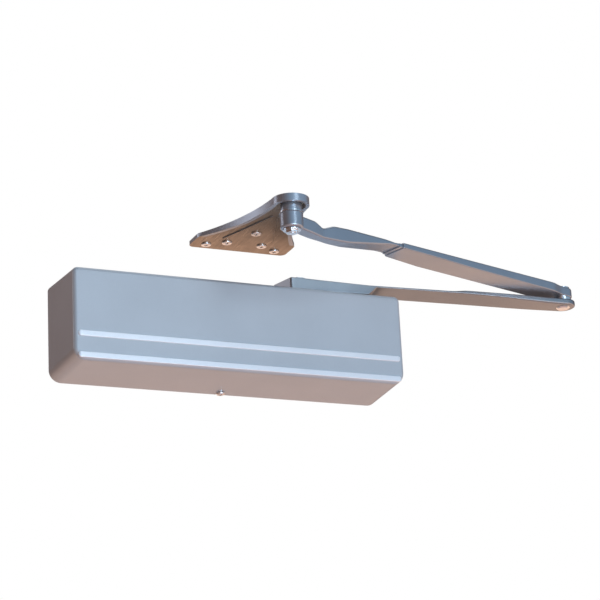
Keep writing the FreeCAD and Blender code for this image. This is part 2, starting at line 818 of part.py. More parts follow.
def make_piston():
    body = new_body("piston")
    module = DIMENSIONS["gear_module"]
    pitch = math.pi * module
    pitch_line = bore_y - dim("gear_module") * dim("gear_teeth") / 2
    radius = dim("bore_radius") - dim("piston_gap")
    left, right = dim("piston_left"), dim("piston_right")
    skin = new_sketch(body, "YZ_Plane", left)
    add_circle(skin, bore_y, 0.0, radius)
    pad(body, skin, right - left)
    spigot = new_sketch(body, "YZ_Plane", left)
    add_circle(spigot, bore_y, 0.0, 8.6)
    pad(body, spigot, 5.0, reverse=True)
    slot = new_sketch(body, "XY_Plane")
    add_rectangle(slot, spindle_x - 14.5, spindle_x + 39.0, pitch_line - RACK_DEDENDUM, bore_y + 13.8)
    pocket(body, slot)
    # The rack's spaces line up with the pinion's tooth, so the first tooth stands half a pitch off.
    lean = math.tan(PRESSURE_ANGLE)
    half = pitch / 4 - FLANK_CLEARANCE
    first = spindle_x - pitch * 1.5
    tooth = new_sketch(body, "XY_Plane")
    add_polygon(tooth, [
        (first - half - lean * (RACK_DEDENDUM + 0.3), pitch_line - RACK_DEDENDUM - 0.3),
        (first + half + lean * (RACK_DEDENDUM + 0.3), pitch_line - RACK_DEDENDUM - 0.3),
        (first + half - lean * RACK_ADDENDUM, pitch_line + RACK_ADDENDUM),
        (first - half + lean * RACK_ADDENDUM, pitch_line + RACK_ADDENDUM),
    ])
    single = pad(body, tooth, dim("gear_half_height") * 2, both_sides=True)
    rack = body.newObject("PartDesign::LinearPattern", "Rack")
    rack.Originals = [single]
    rack.Direction = ([item for item in body.Origin.OriginFeatures if item.Role == "X_Axis"][0], [""])
    rack.Length = pitch * 7
    rack.Occurrences = 8
    body.Tip = rack
    for start in (left + 6, right - 8):
        groove = new_sketch(body, "YZ_Plane", start)
        add_circle(groove, bore_y, 0.0, radius + 2)
        add_circle(groove, bore_y, 0.0, radius - 1.6)
        pocket(body, groove, 2.4, reverse=True)
    for hole_radius, start, length in ((2.0, left - 1, 30.0), (3.3, left + 10, 20.0)):
        passage = new_sketch(body, "YZ_Plane", start)
        add_circle(passage, bore_y + 11.5, 0.0, hole_radius)
        pocket(body, passage, length, reverse=True)


def make_piston_fittings():
    left, right = dim("piston_left"), dim("piston_right")
    rings = doc.addObject("Part::Compound", "Rings")
    rings.Links = [tube(dim("bore_radius") - 0.03, dim("bore_radius") - 1.6, 2.2, start + 0.1,
                        bore_y, 0.0, ALONG_X) for start in (left + 6, right - 8)]
    sub_part(rings, "piston_rings")
    ball = doc.addObject("Part::Sphere", "Ball")
    bind(ball, "Radius", 3.0)
    sub_part(place(ball, left + 12.3, bore_y + 11.5, 0.0), "check_ball")
    sub_part(tube(3.25, 1.4, 1.6, left + 18, bore_y + 11.5, 0.0, ALONG_X), "check_retainer")


# ---------------------------------------------------------------- springs and their adjuster

def make_spring(label, ring, wire, turns):
    """A compression spring between the spring seat and the piston, coiled about the bore."""
    body = new_body(label)
    start = dim("seat_left") + dim("seat_thickness") + wire + 0.1
    end = dim("piston_left") - wire - 0.1
    section = new_sketch(body, "XZ_Plane")
    add_circle(section, start, ring, wire)
    coil = body.newObject("PartDesign::AdditiveHelix", "Coil")
    coil.Profile = section
    coil.ReferenceAxis = (
        [item for item in body.Origin.OriginFeatures if item.Role == "X_Axis"][0], [""])
    coil.Mode = "height-turns-angle"
    bind(coil, "Height", end - start)
    bind(coil, "Turns", turns)
    place_body(body, 0.0, bore_y)


def make_springs():
    make_spring("outer_spring", dim("outer_spring_radius"), dim("outer_wire_radius"),
                dim("outer_spring_turns"))
    make_spring("inner_spring", dim("inner_spring_radius"), dim("inner_wire_radius"),
                dim("inner_spring_turns"))


def make_spring_seat():
    left = dim("seat_left")
    face = left + dim("seat_thickness")
    seat = fuse(along_bore(17.4, left, face), along_bore(9.2, face, face + 5))
    sub_part(cut(seat, along_bore(dim("adjuster_radius") + gap, left - 1, face + 6)), "spring_seat")


def make_power_adjust_screw():
    left = dim("barrel_left")
    screw = fuse(along_bore(5.0, left - 8, left + 13.2),
                 along_bore(7.5, left + 13.2, left + 15.5),
                 along_bore(dim("adjuster_radius"), left + 15.5, left + 56))
    socket = hexagon(5.0, 7.0, left - 9, bore_y, 0.0, ALONG_X)
    sub_part(cut(screw, socket), "power_adjust_screw")


def make_valves():
    level_y = dim("valve_level")
    for step, label in enumerate(("backcheck_valve", "sweep_valve", "latch_valve")):
        x = dim("valve_first") + dim("valve_spacing") * step
        stem = cylinder(dim("valve_radius"), 6.6, x, level_y - 0.1, 0.0, ALONG_Y)
        head = cylinder(dim("valve_radius") + 1.1, 1.6, x, level_y - 1.65, 0.0, ALONG_Y)
        slot = box(x - 5, x + 5, level_y - 2, level_y - 0.9, -0.5, 0.5)
        sub_part(cut(fuse(stem, head), slot), label)


# ---------------------------------------------------------------- main arm and elbow

ARM_CUT_WIDTH = 40.0


def arm_section(body, x, front_low, back_low, top):
    """A cross-section of the main arm, drawn wide. The low edge is given at the arm's two sides."""
    half = dim("arm_half_width")
    middle = (as_dim(front_low) + back_low) / 2
    lean = (as_dim(back_low) - front_low) / (half * 2) * (ARM_CUT_WIDTH / 2)
    sketch = new_sketch(body, "YZ_Plane", x)
    add_polygon(sketch, [(-ARM_CUT_WIDTH / 2, middle - lean), (ARM_CUT_WIDTH / 2, middle + lean),
                         (ARM_CUT_WIDTH / 2, top), (-ARM_CUT_WIDTH / 2, top)])
    return sketch


def make_main_arm():
    body = new_body("main_arm")
    length = dim("arm_length")
    low, top = dim("hub_bottom"), dim("hub_top")
    end_low, end_top = dim("arm_end_bottom"), dim("arm_end_top")
    half = dim("arm_half_width")
    end_round = dim("arm_end_radius")
    # Along the arm: the deep hub, the ramp under it, the thin bar, the step up and the eye.
    loft(body, "AdditiveLoft", [
        arm_section(body, -30.0, low, low, top),
        arm_section(body, -11.0, low, low, top),
        arm_section(body, 64.5, low, low, end_top + 0.1),
        arm_section(body, 72.5, 54.4, 51.9, end_top),
        arm_section(body, 149.5, 53.8, 51.1, end_top - 0.2),
        arm_section(body, 161.5, 53.8, 51.0, end_top + 1.1),
        arm_section(body, 196.5, 52.8, 50.6, end_top + 0.8),
        arm_section(body, length - 16, end_low, end_low, end_top),
        arm_section(body, length + 20, end_low, end_low, end_top),
    ])
    plan = new_sketch(body, "XY_Plane")
    end, slant = dim("hub_end"), dim("hub_slant")
    add_rectangle(plan, -60.0, length + 60, -45.0, 45.0)
    add_outline(plan, [
        ((length - 34, half),),
        ((length, end_round),),
        ((length + end_round, 0.0), (length, -end_round)),
        ((length - 34, -half),),
        ((slant - end, -half),),
        ((-end - slant, half),),
    ])
    pocket(body, plan)
    dress(body, "Fillet", 1.6, lambda edge: upright(edge) and edge.BoundBox.XMax < 0)
    recess = new_sketch(body, "XY_Plane", dim("hub_recess_floor"))
    add_circle(recess, 0.0, 0.0, dim("hub_recess_radius"))
    pocket(body, recess, 10.0, reverse=True)
    square = new_sketch(body, "XY_Plane")
    reach = dim("spindle_square") / 2 + gap
    add_rectangle(square, -reach, reach, -reach, reach)
    pocket(body, square)
    hole = new_sketch(body, "XY_Plane")
    add_circle(hole, length, 0.0, dim("elbow_pin_radius") + 0.02)
    pocket(body, hole)
    in_arm_frame(body)


def make_arm_fastening():
    floor = dim("hub_recess_floor")
    bearing = floor + 1.2
    top = bearing + 4.6
    sub_part(tube(9.7, 4.2, 1.2, spindle_x, bore_y, floor), "arm_washer")
    head = cut(hexagon(13.0, 4.6, spindle_x, bore_y, bearing),
               cut(along_spindle(9.0, top - 1, top + 2),
                   cone(8.4, 5.4, 3.0, spindle_x, bore_y, top - 1)))
    sub_part(fuse(head, along_spindle(3.95, floor - 12, bearing)), "arm_screw")


def at_elbow(radius, z0, z1):
    return cylinder(radius, as_dim(z1) - z0, elbow_x, elbow_y, z0)


def make_elbow():
    pin = dim("elbow_pin_radius")
    flat, top = dim("arm_end_bottom"), dim("arm_end_top")
    eye_low, eye_top = dim("sleeve_bottom"), dim("sleeve_top")
    peen = cone(5.4, 7.0, 1.2, elbow_x, elbow_y, flat - 1.2)
    sub_part(fuse(peen, at_elbow(pin, flat - 1.2, eye_top + 1.9)), "elbow_pin")
    sub_part(cut(at_elbow(8.6, top, eye_low - 0.1), at_elbow(pin + 0.02, top - 1, eye_low + 1)),
             "elbow_washer")
    sub_part(cut(at_elbow(6.4, eye_low, eye_top), at_elbow(pin + gap, eye_low - 1, eye_top + 1)),
             "elbow_bush")
    sub_part(cut(at_elbow(7.6, eye_top + 0.1, eye_top + 1.5),
                 at_elbow(pin + 0.02, eye_top - 1, eye_top + 3)), "elbow_retainer")


# ---------------------------------------------------------------- forearm

def section_sketch(body, x, half_width, low_front, low_back, high):
    """A four-sided cross-section of the forearm. The front is the -y side."""
    sketch = new_sketch(body, "YZ_Plane", x)
    half_width = as_dim(half_width)
    add_polygon(sketch, [(-half_width, low_front), (half_width, low_back),
                         (half_width, high), (-half_width, high)])
    return sketch


def make_forearm_sleeve():
    body = new_body("forearm_sleeve")
    length = dim("forearm_length")
    start = dim("sleeve_start")
    half = dim("sleeve_width") / 2
    low, top = dim("sleeve_bottom"), dim("sleeve_top")
    shoulder = length - 26
    loft(body, "AdditiveLoft", [
        section_sketch(body, start, half, low + 3.4, low + 3.1, top),
        section_sketch(body, start + 39, half, low + 2.9, low + 1.0, top),
        section_sketch(body, start + 84, half, low + 1.5, low + 0.8, top),
        section_sketch(body, shoulder, half, low, low, top),
    ])
    eye = new_sketch(body, "XY_Plane", low)
    radius = dim("eye_radius")
    add_outline(eye, [
        ((shoulder, half),),
        ((shoulder, -half),),
        ((length, -radius),),
        ((length + radius, 0.0), (length, radius)),
    ])
    pad(body, eye, top - low)
    dress(body, "Fillet", 1.5,
          lambda edge: edge.BoundBox.XLength > 30 and edge.BoundBox.ZMin > top.value - 0.01)
    cavity = new_sketch(body, "YZ_Plane", start)
    half_rod = dim("rod_width") / 2 + 0.3
    wall = dim("sleeve_wall")
    add_rectangle(cavity, -half_rod, half_rod, top - wall - dim("rod_thickness") - 0.5, top - wall)
    pocket(body, cavity, 114.0, reverse=True)
    hole = new_sketch(body, "XY_Plane")
    add_circle(hole, length, 0.0, 6.45)
    pocket(body, hole)
    taps = new_sketch(body, "XY_Plane", top + 1)
    for x in lock_places():
        add_circle(taps, x, 0.0, 2.55)
    pocket(body, taps, 3.0)
    in_forearm_frame(body)


def lock_places():
    return [dim("sleeve_start") + 18, dim("sleeve_start") + 42]


def make_lock_screws():
    body = new_body("length_lock_screws")
    rod_top = dim("sleeve_top") - dim("sleeve_wall") - 0.2
    length = dim("sleeve_wall") + 0.2
    grubs = new_sketch(body, "XY_Plane", rod_top)
    sockets = new_sketch(body, "XY_Plane", rod_top + length)
    for x in lock_places():
        add_circle(grubs, x, 0.0, 2.5)
        add_rectangle(sockets, x - 1.1, x + 1.1, -1.1, 1.1)
    pad(body, grubs, length)
    pocket(body, sockets, length - 0.3)
    in_forearm_frame(body)


def make_forearm_rod():
    body = new_body("forearm_rod")
    low, high = dim("forearm_hub_bottom"), dim("forearm_hub_top")
    rod_high = dim("sleeve_top") - dim("sleeve_wall") - 0.25
    rod_low = rod_high - dim("rod_thickness")
    half = dim("rod_width") / 2
    hub = new_sketch(body, "XY_Plane", low)
    add_circle(hub, 0.0, 0.0, dim("forearm_hub_radius"))
    pad(body, hub, high - low)
    dress(body, "Fillet", 2.2, lambda edge: level(edge, low.value))
    bar_start = 112.8
    loft(body, "AdditiveLoft", [
        section_sketch(body, 5.0, 6.4, low, low, high - 1.9),
        section_sketch(body, 8.6, 6.4, low, low, high - 2.1),
        section_sketch(body, 23.0, 6.2, low - 1.8, low - 1.8, high - 3.5),
        section_sketch(body, 32.5, 5.0, low - 2.8, low - 2.8, high - 7.8),
        section_sketch(body, 44.0, 6.2, low - 2.8, low - 2.8, rod_high + 3.1),
        section_sketch(body, 60.0, 7.0, low - 2.2, low - 2.2, rod_high + 3.6),
        section_sketch(body, 103.0, half - 1, rod_low - 1.0, rod_low - 1.0, rod_high + 1.9),
        section_sketch(body, bar_start, half, rod_low, rod_low, rod_high),
    ])
    bar = new_sketch(body, "YZ_Plane", bar_start)
    add_rectangle(bar, -half, half, rod_low, rod_high)
    pad(body, bar, dim("rod_end") - bar_start)
    hole = new_sketch(body, "XY_Plane")
    add_circle(hole, 0.0, 0.0, dim("pivot_radius") + dim("pivot_bush_wall") + gap)
    pocket(body, hole)
    in_forearm_frame(body)


# ---------------------------------------------------------------- bracket and its pivot

def at_pivot(radius, z0, z1):
    return cylinder(radius, as_dim(z1) - z0, pivot_x, pivot_y, z0)


def make_pivot():
    pin = dim("pivot_radius")
    low, high = dim("forearm_hub_bottom"), dim("forearm_hub_top")
    shaft = fuse(at_pivot(pin, low - 0.2, dim("plate_top") - 0.4), at_pivot(3.0, low - 3.8, low))
    sub_part(shaft, "pivot_pin")
    sub_part(cut(at_pivot(pin + dim("pivot_bush_wall"), low, high),
                 at_pivot(pin + gap, low - 1, high + 1)), "pivot_bush")
    sub_part(cut(at_pivot(10.4, high + 0.15, high + 1.0), at_pivot(pin + 0.02, high, high + 2)),
             "pivot_top_washer")
    sub_part(cut(at_pivot(7.8, low - 1.0, low - 0.2), at_pivot(3.05, low - 2, low)),
             "pivot_low_washer")
    nut = hexagon(10.0, 2.5, pivot_x, pivot_y, low - 3.5)
    sub_part(cut(nut, at_pivot(3.02, low - 6, low)), "pivot_nut")


def side_of_plate(distance, inset=0.0):
    """Half width of the plate at a distance behind the pivot: a long concave arc."""
    reach = 224.9
    return reach - math.sqrt((209.0 + inset) ** 2 - (distance + 8.9) ** 2)


def make_bracket():
    body = new_body("bracket")
    top, low = dim("plate_top"), dim("flange_bottom")
    under = top - dim("plate_thickness")
    nose = dim("nose_radius")
    back, wide = dim("plate_back"), dim("plate_half_width")
    shoulder = 100.0
    edge_x = side_of_plate(shoulder)
    near_x = side_of_plate(2.0)
    plan = new_sketch(body, "XY_Plane", low)
    add_outline(plan, [
        ((side_of_plate(50.0), 50.0), (edge_x, shoulder)),
        ((wide, shoulder + 4),),
        ((wide, back - 5),),
        ((wide - 1.5, back - 1.5), (wide - 5, back)),
        ((5 - wide, back),),
        ((1.5 - wide, back - 1.5), (-wide, back - 5)),
        ((-wide, shoulder + 4),),
        ((-edge_x, shoulder),),
        ((-side_of_plate(50.0), 50.0), (-near_x, 2.0)),
        ((0.0, -nose), (near_x, 2.0)),
    ])
    pad(body, plan, top - low)
    below = new_sketch(body, "YZ_Plane")
    add_polygon(below, [(48.0, low), (48.0, low - 5), (back + 20, low - 5), (back + 20, under),
                        (98.0, under)])
    pocket(body, below)
    hollow = new_sketch(body, "XY_Plane", low - 1)
    wall = 3.8
    throat = 4.0
    throat_x = side_of_plate(throat, wall)
    far_x = side_of_plate(shoulder, wall)
    front = -12.9
    add_outline(hollow, [
        ((side_of_plate(50.0, wall), 50.0), (far_x, shoulder)),
        ((far_x, back + 5),),
        ((-far_x, back + 5),),
        ((-far_x, shoulder),),
        ((-side_of_plate(50.0, wall), 50.0), (-throat_x, throat)),
        ((0.0, front), (throat_x, throat)),
    ])
    pocket(body, hollow, under - low + 1, reverse=True)
    # Two pressed beads stiffen the plate between the pivot and the screws.
    for side in (-1, 1):
        bead = new_sketch(body, "XY_Plane", under - dim("bead_height"))
        add_outline(bead, [
            ((12.9 * side, 62.0), (24.8 * side, 97.0)),
            (((24.8 - dim("bead_width")) * side, 97.0),),
            (((12.9 - dim("bead_width")) * side, 62.0), ((3.6 - dim("bead_width")) * side, 33.0)),
            ((3.6 * side, 33.0),),
        ])
        pad(body, bead, dim("bead_height") + 0.5)
    boss = new_sketch(body, "XY_Plane", dim("forearm_hub_top") + 1.0)
    add_circle(boss, 0.0, 0.0, dim("bracket_boss_radius"))
    pad(body, boss, under - dim("forearm_hub_top") + 0.6)
    holes = new_sketch(body, "XY_Plane", low)
    add_circle(holes, 0.0, 0.0, dim("pivot_radius") + 0.02)
    for x, y in bracket_centres():
        add_circle(holes, x, y, dim("bracket_hole_radius"))
    pocket(body, holes)
    in_bracket_frame(body)


# ---------------------------------------------------------------- finish

def build_all():
    make_cover()
    make_cover_screw()
    make_closer_body()
    make_body_screws()
    make_bearings()
    make_pinion_caps()
    make_pinion_seals()
    make_end_caps()
    make_body_seals()
    make_pinion()
    make_piston()
    make_piston_fittings()
    make_springs()
    make_spring_seat()
    make_power_adjust_screw()
    make_valves()
    make_main_arm()
    make_arm_fastening()
    make_elbow()
    make_forearm_sleeve()
    make_lock_screws()
    make_forearm_rod()
    make_pivot()
    make_bracket()
    make_bracket_screws()


build_all()
doc.recompute()

problems = [item.Label for item in doc.Objects if "Invalid" in item.State or "Error" in item.State]
for label, thing in SUB_PARTS.items():
    if thing.Shape.isNull() or not thing.Shape.isValid():
        problems.append(label)
if problems:
    raise RuntimeError("failed objects: " + ", ".join(problems))

os.makedirs("parts", exist_ok=True)
for label, thing in SUB_PARTS.items():
    thing.Shape.exportStep(f"parts/{label}.step")
    print(label, len(thing.Shape.Solids), round(thing.Shape.Volume, 1))
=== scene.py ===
import json
import math

import bmesh
import bpy
from mathutils import Matrix, Vector


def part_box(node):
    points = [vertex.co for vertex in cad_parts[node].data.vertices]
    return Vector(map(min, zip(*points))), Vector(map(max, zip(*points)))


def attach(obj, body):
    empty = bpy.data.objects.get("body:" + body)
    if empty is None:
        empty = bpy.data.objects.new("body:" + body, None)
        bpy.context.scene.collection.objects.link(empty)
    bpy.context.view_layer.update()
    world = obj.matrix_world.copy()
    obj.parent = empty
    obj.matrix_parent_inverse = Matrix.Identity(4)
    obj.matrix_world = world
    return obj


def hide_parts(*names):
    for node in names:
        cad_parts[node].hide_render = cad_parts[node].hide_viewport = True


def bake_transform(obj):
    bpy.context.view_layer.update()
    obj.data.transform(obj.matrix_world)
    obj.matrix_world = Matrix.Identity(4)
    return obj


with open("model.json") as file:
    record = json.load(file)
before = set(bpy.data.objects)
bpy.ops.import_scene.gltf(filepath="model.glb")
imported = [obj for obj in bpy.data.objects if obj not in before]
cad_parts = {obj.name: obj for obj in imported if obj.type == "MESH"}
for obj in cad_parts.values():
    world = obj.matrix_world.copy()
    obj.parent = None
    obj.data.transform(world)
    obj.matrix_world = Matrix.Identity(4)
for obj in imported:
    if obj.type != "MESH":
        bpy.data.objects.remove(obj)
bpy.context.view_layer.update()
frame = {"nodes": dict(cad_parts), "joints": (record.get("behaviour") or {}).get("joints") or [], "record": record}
nodes = frame["nodes"]
joints = {joint["name"]: joint for joint in frame["joints"]}

# Shapes are worked out in millimetres, and each piece's place brings them to metres.
MM = 0.001


# ---------------------------------------------------------------- places taken from the frame

def centre_of(node):
    low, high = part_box(node)
    return (low + high) / 2


spindle = Vector(joints["arm_swing"]["pos_m"]) / MM
elbow = Vector(joints["elbow_pivot"]["pos_m"]) / MM
pivot = Vector(joints["bracket_pivot"]["pos_m"]) / MM
arm_angle = math.atan2(elbow.y - spindle.y, elbow.x - spindle.x)
forearm_angle = math.atan2(elbow.y - pivot.y, elbow.x - pivot.x)
arm_length = (elbow - spindle).xy.length
forearm_length = (elbow - pivot).xy.length


def local_frame(origin, angle):
    """From millimetres in a frame turned about an upright axis to metres in the shared frame."""
    turn = Matrix.Rotation(angle, 4, "Z")
    return Matrix.Scale(MM, 4) @ Matrix.Translation((origin.x, origin.y, 0)) @ turn


ROW = Matrix.Scale(MM, 4)
ARM = local_frame(spindle, arm_angle)
FOREARM = local_frame(pivot, forearm_angle)

BODY_OF = {node: body for body, members in frame["record"]["behaviour"]["bodies"].items()
           for node in members}
SLOT_OF = {row["node"]: row["material_slot"] for row in frame["record"]["subparts"]}


# ---------------------------------------------------------------- node materials

# Most of a noise's values lie between these two.
NOISE_LOW, NOISE_HIGH = 0.3, 0.7
# Where a Mix node keeps its two colours and its result.
MIX_FIRST, MIX_SECOND, MIX_RESULT = 6, 7, 2


class Shader:
    """A Principled material with short ways to add the nodes that feed it."""

    def __init__(self, name, metallic, roughness, **plain):
        self.material = bpy.data.materials.new(name)
        self.material.use_nodes = True
        self.tree = self.material.node_tree
        self.surface = self.tree.nodes["Principled BSDF"]
        self.set("Metallic", metallic)
        self.set("Roughness", roughness)
        for socket, value in plain.items():
            self.set(socket.replace("_", " "), value)
        self.place = self.tree.nodes.new("ShaderNodeTexCoord").outputs["Object"]

    def set(self, socket, value):
        self.surface.inputs[socket].default_value = value

    def link(self, source, socket):
        self.tree.links.new(source, self.surface.inputs[socket])

    def node(self, kind, inputs, **settings):
        item = self.tree.nodes.new(kind)
        for key, value in settings.items():
            setattr(item, key, value)
        for key, value in inputs.items():
            if isinstance(value, bpy.types.NodeSocket):
                self.tree.links.new(value, item.inputs[key])
            else:
                item.inputs[key].default_value = value
        return item

    def stretched(self, scale):
        return self.node("ShaderNodeMapping", {"Vector": self.place, "Scale": scale}).outputs[0]

    def noise(self, scale, detail=3.0, vector=None):
        """A noise with scale waves to the metre."""
        return self.node("ShaderNodeTexNoise", {
            "Vector": vector or self.place, "Scale": scale, "Detail": detail,
        }).outputs["Fac"]

    def cells(self, scale):
        return self.node("ShaderNodeTexVoronoi", {"Vector": self.place, "Scale": scale}).outputs

    def ramp(self, source, *stops):
        """A colour ramp through stops of (position, colour)."""
        item = self.node("ShaderNodeValToRGB", {"Fac": source})
        elements = item.color_ramp.elements
        while len(elements) < len(stops):
            elements.new(0.5)
        for element, (position, colour) in zip(elements, stops):
            element.position = position
            element.color = (*colour, 1.0)
        return item.outputs["Color"]

    def span(self, source, to_low, to_high, low=NOISE_LOW, high=NOISE_HIGH):
        """source, stretched from low and high to to_low and to_high."""
        return self.node("ShaderNodeMapRange", {
            "Value": source, "From Min": low, "From Max": high,
            "To Min": to_low, "To Max": to_high}).outputs["Result"]

    def mix(self, factor, first, second, blend="MIX"):
        item = self.node("ShaderNodeMix", {"Factor": factor}, data_type="RGBA", blend_type=blend)
        for index, value in ((MIX_FIRST, first), (MIX_SECOND, second)):
            if isinstance(value, bpy.types.NodeSocket):
                self.tree.links.new(value, item.inputs[index])
            else:
                item.inputs[index].default_value = (*value, 1.0)
        return item.outputs[MIX_RESULT]

    def bump(self, height, strength, distance, under=None):
        inputs = {"Height": height, "Strength": strength, "Distance": distance}
        if under is not None:
            inputs["Normal"] = under
        return self.node("ShaderNodeBump", inputs).outputs["Normal"]


def shaded(colour, factor):
    return tuple(channel * factor for channel in colour)


def paint(name, colour, metallic, roughness, edge_highlight=0.0):
    """Satin metallic paint: fine flake, orange peel, faint clouds and a painted highlight on sharp edges."""
    shader = Shader(name, metallic, roughness, Coat_Weight=0.12, Coat_Roughness=0.22)
    clouds = shader.ramp(shader.noise(14.0, detail=4.0), (NOISE_LOW, shaded(colour, 0.955)),
                         (NOISE_HIGH, shaded(colour, 1.03)))
    flakes = shader.ramp(shader.cells(2600.0)["Distance"], (0.0, (1.07, 1.07, 1.07)),
                         (0.75, (0.95, 0.95, 0.955)))
    colour_now = shader.mix(1.0, clouds, flakes, "MULTIPLY")
    # Sharp edges get a lighter copy of the paint colour: a painted highlight.
    if edge_highlight:
        edges = shader.node("ShaderNodeNewGeometry", {}).outputs["Pointiness"]
        edge_highlight_share = shader.span(edges, 0.0, edge_highlight, low=0.52, high=0.60)
        light = tuple(min(1.0, channel * 1.5 + 0.10) for channel in colour)
        colour_now = shader.mix(edge_highlight_share, colour_now, light)
    shader.link(colour_now, "Base Color")
    shader.link(shader.span(shader.noise(60.0), roughness - 0.015, roughness + 0.02), "Roughness")
    peel = shader.bump(shader.noise(620.0, detail=2.0), strength=0.16, distance=0.00012)
    shader.link(shader.bump(shader.noise(3200.0, detail=1.0), strength=0.10, distance=0.00004,
                            under=peel), "Normal")
    return shader.material


def cast_iron(name, colour):
    """A painted sand casting: grainy skin, soft blotches and darker pits."""
    shader = Shader(name, metallic=0.35, roughness=0.55)
    blotches = shader.ramp(shader.noise(40.0, detail=5.0), (0.3, shaded(colour, 0.78)),
                           (0.72, shaded(colour, 1.18)))
    pits = shader.ramp(shader.cells(900.0)["Distance"], (0.05, (0.7, 0.7, 0.7)), (0.3, (1, 1, 1)))
    shader.link(shader.mix(1.0, blotches, pits, "MULTIPLY"), "Base Color")
    shader.link(shader.span(shader.noise(150.0), 0.46, 0.68), "Roughness")
    grain = shader.bump(shader.noise(900.0, detail=4.0), strength=0.45, distance=0.0002)
    shader.link(shader.bump(shader.noise(120.0, detail=2.0), strength=0.3, distance=0.0006,
                            under=grain), "Normal")
    return shader.material


def turned_metal(name, colour, roughness, stretch=(1.0, 1.0, 14.0), stain=0.9):
    """Machined or plated metal with fine tool lines and a faint tarnish."""
    shader = Shader(name, 1.0, roughness)
    lines = shader.noise(700.0, detail=2.0, vector=shader.stretched(stretch))
    tarnish = shader.ramp(shader.noise(90.0, detail=4.0), (NOISE_LOW, shaded(colour, stain)),
                          (NOISE_HIGH, colour))
    tone = shader.ramp(lines, (NOISE_LOW, (0.93, 0.93, 0.93)), (NOISE_HIGH, (1.04, 1.04, 1.04)))
    shader.link(shader.mix(1.0, tarnish, tone, "MULTIPLY"), "Base Color")
    shader.link(shader.span(lines, roughness - 0.06, roughness + 0.1), "Roughness")
    shader.link(shader.bump(lines, strength=0.12, distance=0.00005), "Normal")
    return shader.material


def rubber(name, colour):
    """Matt moulded rubber with a dusty bloom."""
    shader = Shader(name, metallic=0.0, roughness=0.7)
    shader.link(shader.ramp(shader.noise(300.0, detail=4.0), (NOISE_LOW, shaded(colour, 0.7)),
                            (NOISE_HIGH, shaded(colour, 1.5))), "Base Color")
    shader.link(shader.span(shader.noise(500.0), 0.6, 0.82), "Roughness")
    shader.link(shader.bump(shader.noise(1500.0), strength=0.25, distance=0.0001), "Normal")
    return shader.material


COVER_PAINT = paint("cover_paint", (0.54, 0.575, 0.60), 0.25, 0.40)
# A much lighter copy of the cover paint, for the ribs and the rim of the sleeve's mouth: a painted highlight.
HIGHLIGHT_PAINT = paint("highlight_paint", (0.93, 0.96, 0.98), 0.25, 0.32)
ARM_PAINT = paint("arm_paint", (0.43, 0.465, 0.51), 0.8, 0.34, edge_highlight=0.7)
# A darker copy of the arm paint for the main arm: painted shade for the shadow the cover casts on it.
MAIN_ARM_SHADED_PAINT = paint("main_arm_shaded_paint", (0.36, 0.37, 0.385), 0.97, 0.38, edge_highlight=0.7)
# Warm brown metal for the bracket's underside: a painted reflection of the brown surroundings below it.
BRACKET_REFLECTION = turned_metal("bracket_reflection", (0.37, 0.295, 0.225), 0.32,
                             stretch=(1.0, 0.06, 1.0), stain=0.8)
MATERIALS = {
    "cover_paint": COVER_PAINT,
    "arm_paint": ARM_PAINT,
    "body_iron": cast_iron("body_iron", (0.24, 0.25, 0.27)),
    "hard_steel": turned_metal("hard_steel", (0.50, 0.51, 0.53), 0.28),
    "spring_steel": turned_metal("spring_steel", (0.30, 0.31, 0.34), 0.38, stretch=(9.0, 1.0, 1.0)),
    "plated_steel": turned_metal("plated_steel", (0.93, 0.93, 0.94), 0.24),
    "bronze": turned_metal("bronze", (0.62, 0.42, 0.22), 0.38, stain=0.75),
    "valve_brass": turned_metal("valve_brass", (0.80, 0.62, 0.32), 0.26),
    "seal_rubber": rubber("seal_rubber", (0.03, 0.03, 0.033)),
}


# ---------------------------------------------------------------- mesh tools

SMOOTH_ANGLE = 38.0
EDGE_SEGMENTS = 2
# Points nearer than this are one: in millimetres in a shape being made, and in metres in a CAD mesh.
SAME_POINT_MM = 0.001
SAME_POINT_M = 1e-6
FLAT_ANGLE = 1.0


def ring(bm, points):
    return [bm.verts.new(point) for point in points]


def bridge(bm, first, second):
    """Quads between two closed rings with the same number of points."""
    count = len(first)
    for index in range(count):
        after = (index + 1) % count
        bm.faces.new((first[index], first[after], second[after], second[index]))


def lofted(sections):
    """A closed skin through sections, each a closed list of 3-D points in millimetres."""
    bm = bmesh.new()
    rings = [ring(bm, section) for section in sections]
    for first, second in zip(rings, rings[1:]):
        bridge(bm, first, second)
    bm.faces.new(rings[0])
    bm.faces.new(rings[-1])
    bmesh.ops.recalc_face_normals(bm, faces=bm.faces)
    return bm


def rounded(corners, steps=5):
    """A closed 2-D outline through corners (x, y, radius), each rounded by an arc."""
    outline = []
    count = len(corners)
    for index, (x, y, radius) in enumerate(corners):
        here = Vector((x, y))
        before = (Vector(corners[index - 1][:2]) - here).normalized()
        after = (Vector(corners[(index + 1) % count][:2]) - here).normalized()
        half = math.acos(max(-1.0, min(1.0, before.dot(after)))) / 2
        bisector = before + after
        if radius <= 0 or bisector.length < 1e-4:
            outline += [here.copy() for _ in range(steps + 1)] if radius > 0 else [here]
            continue
        centre = here + bisector.normalized() * (radius / math.sin(half))
        start = here + before * (radius / math.tan(half)) - centre
        end = here + after * (radius / math.tan(half)) - centre
        sweep = start.angle_signed(end)
        for step in range(steps + 1):
            turn = Matrix.Rotation(-sweep * step / steps, 2)
            outline.append(centre + turn @ start)
    return outline


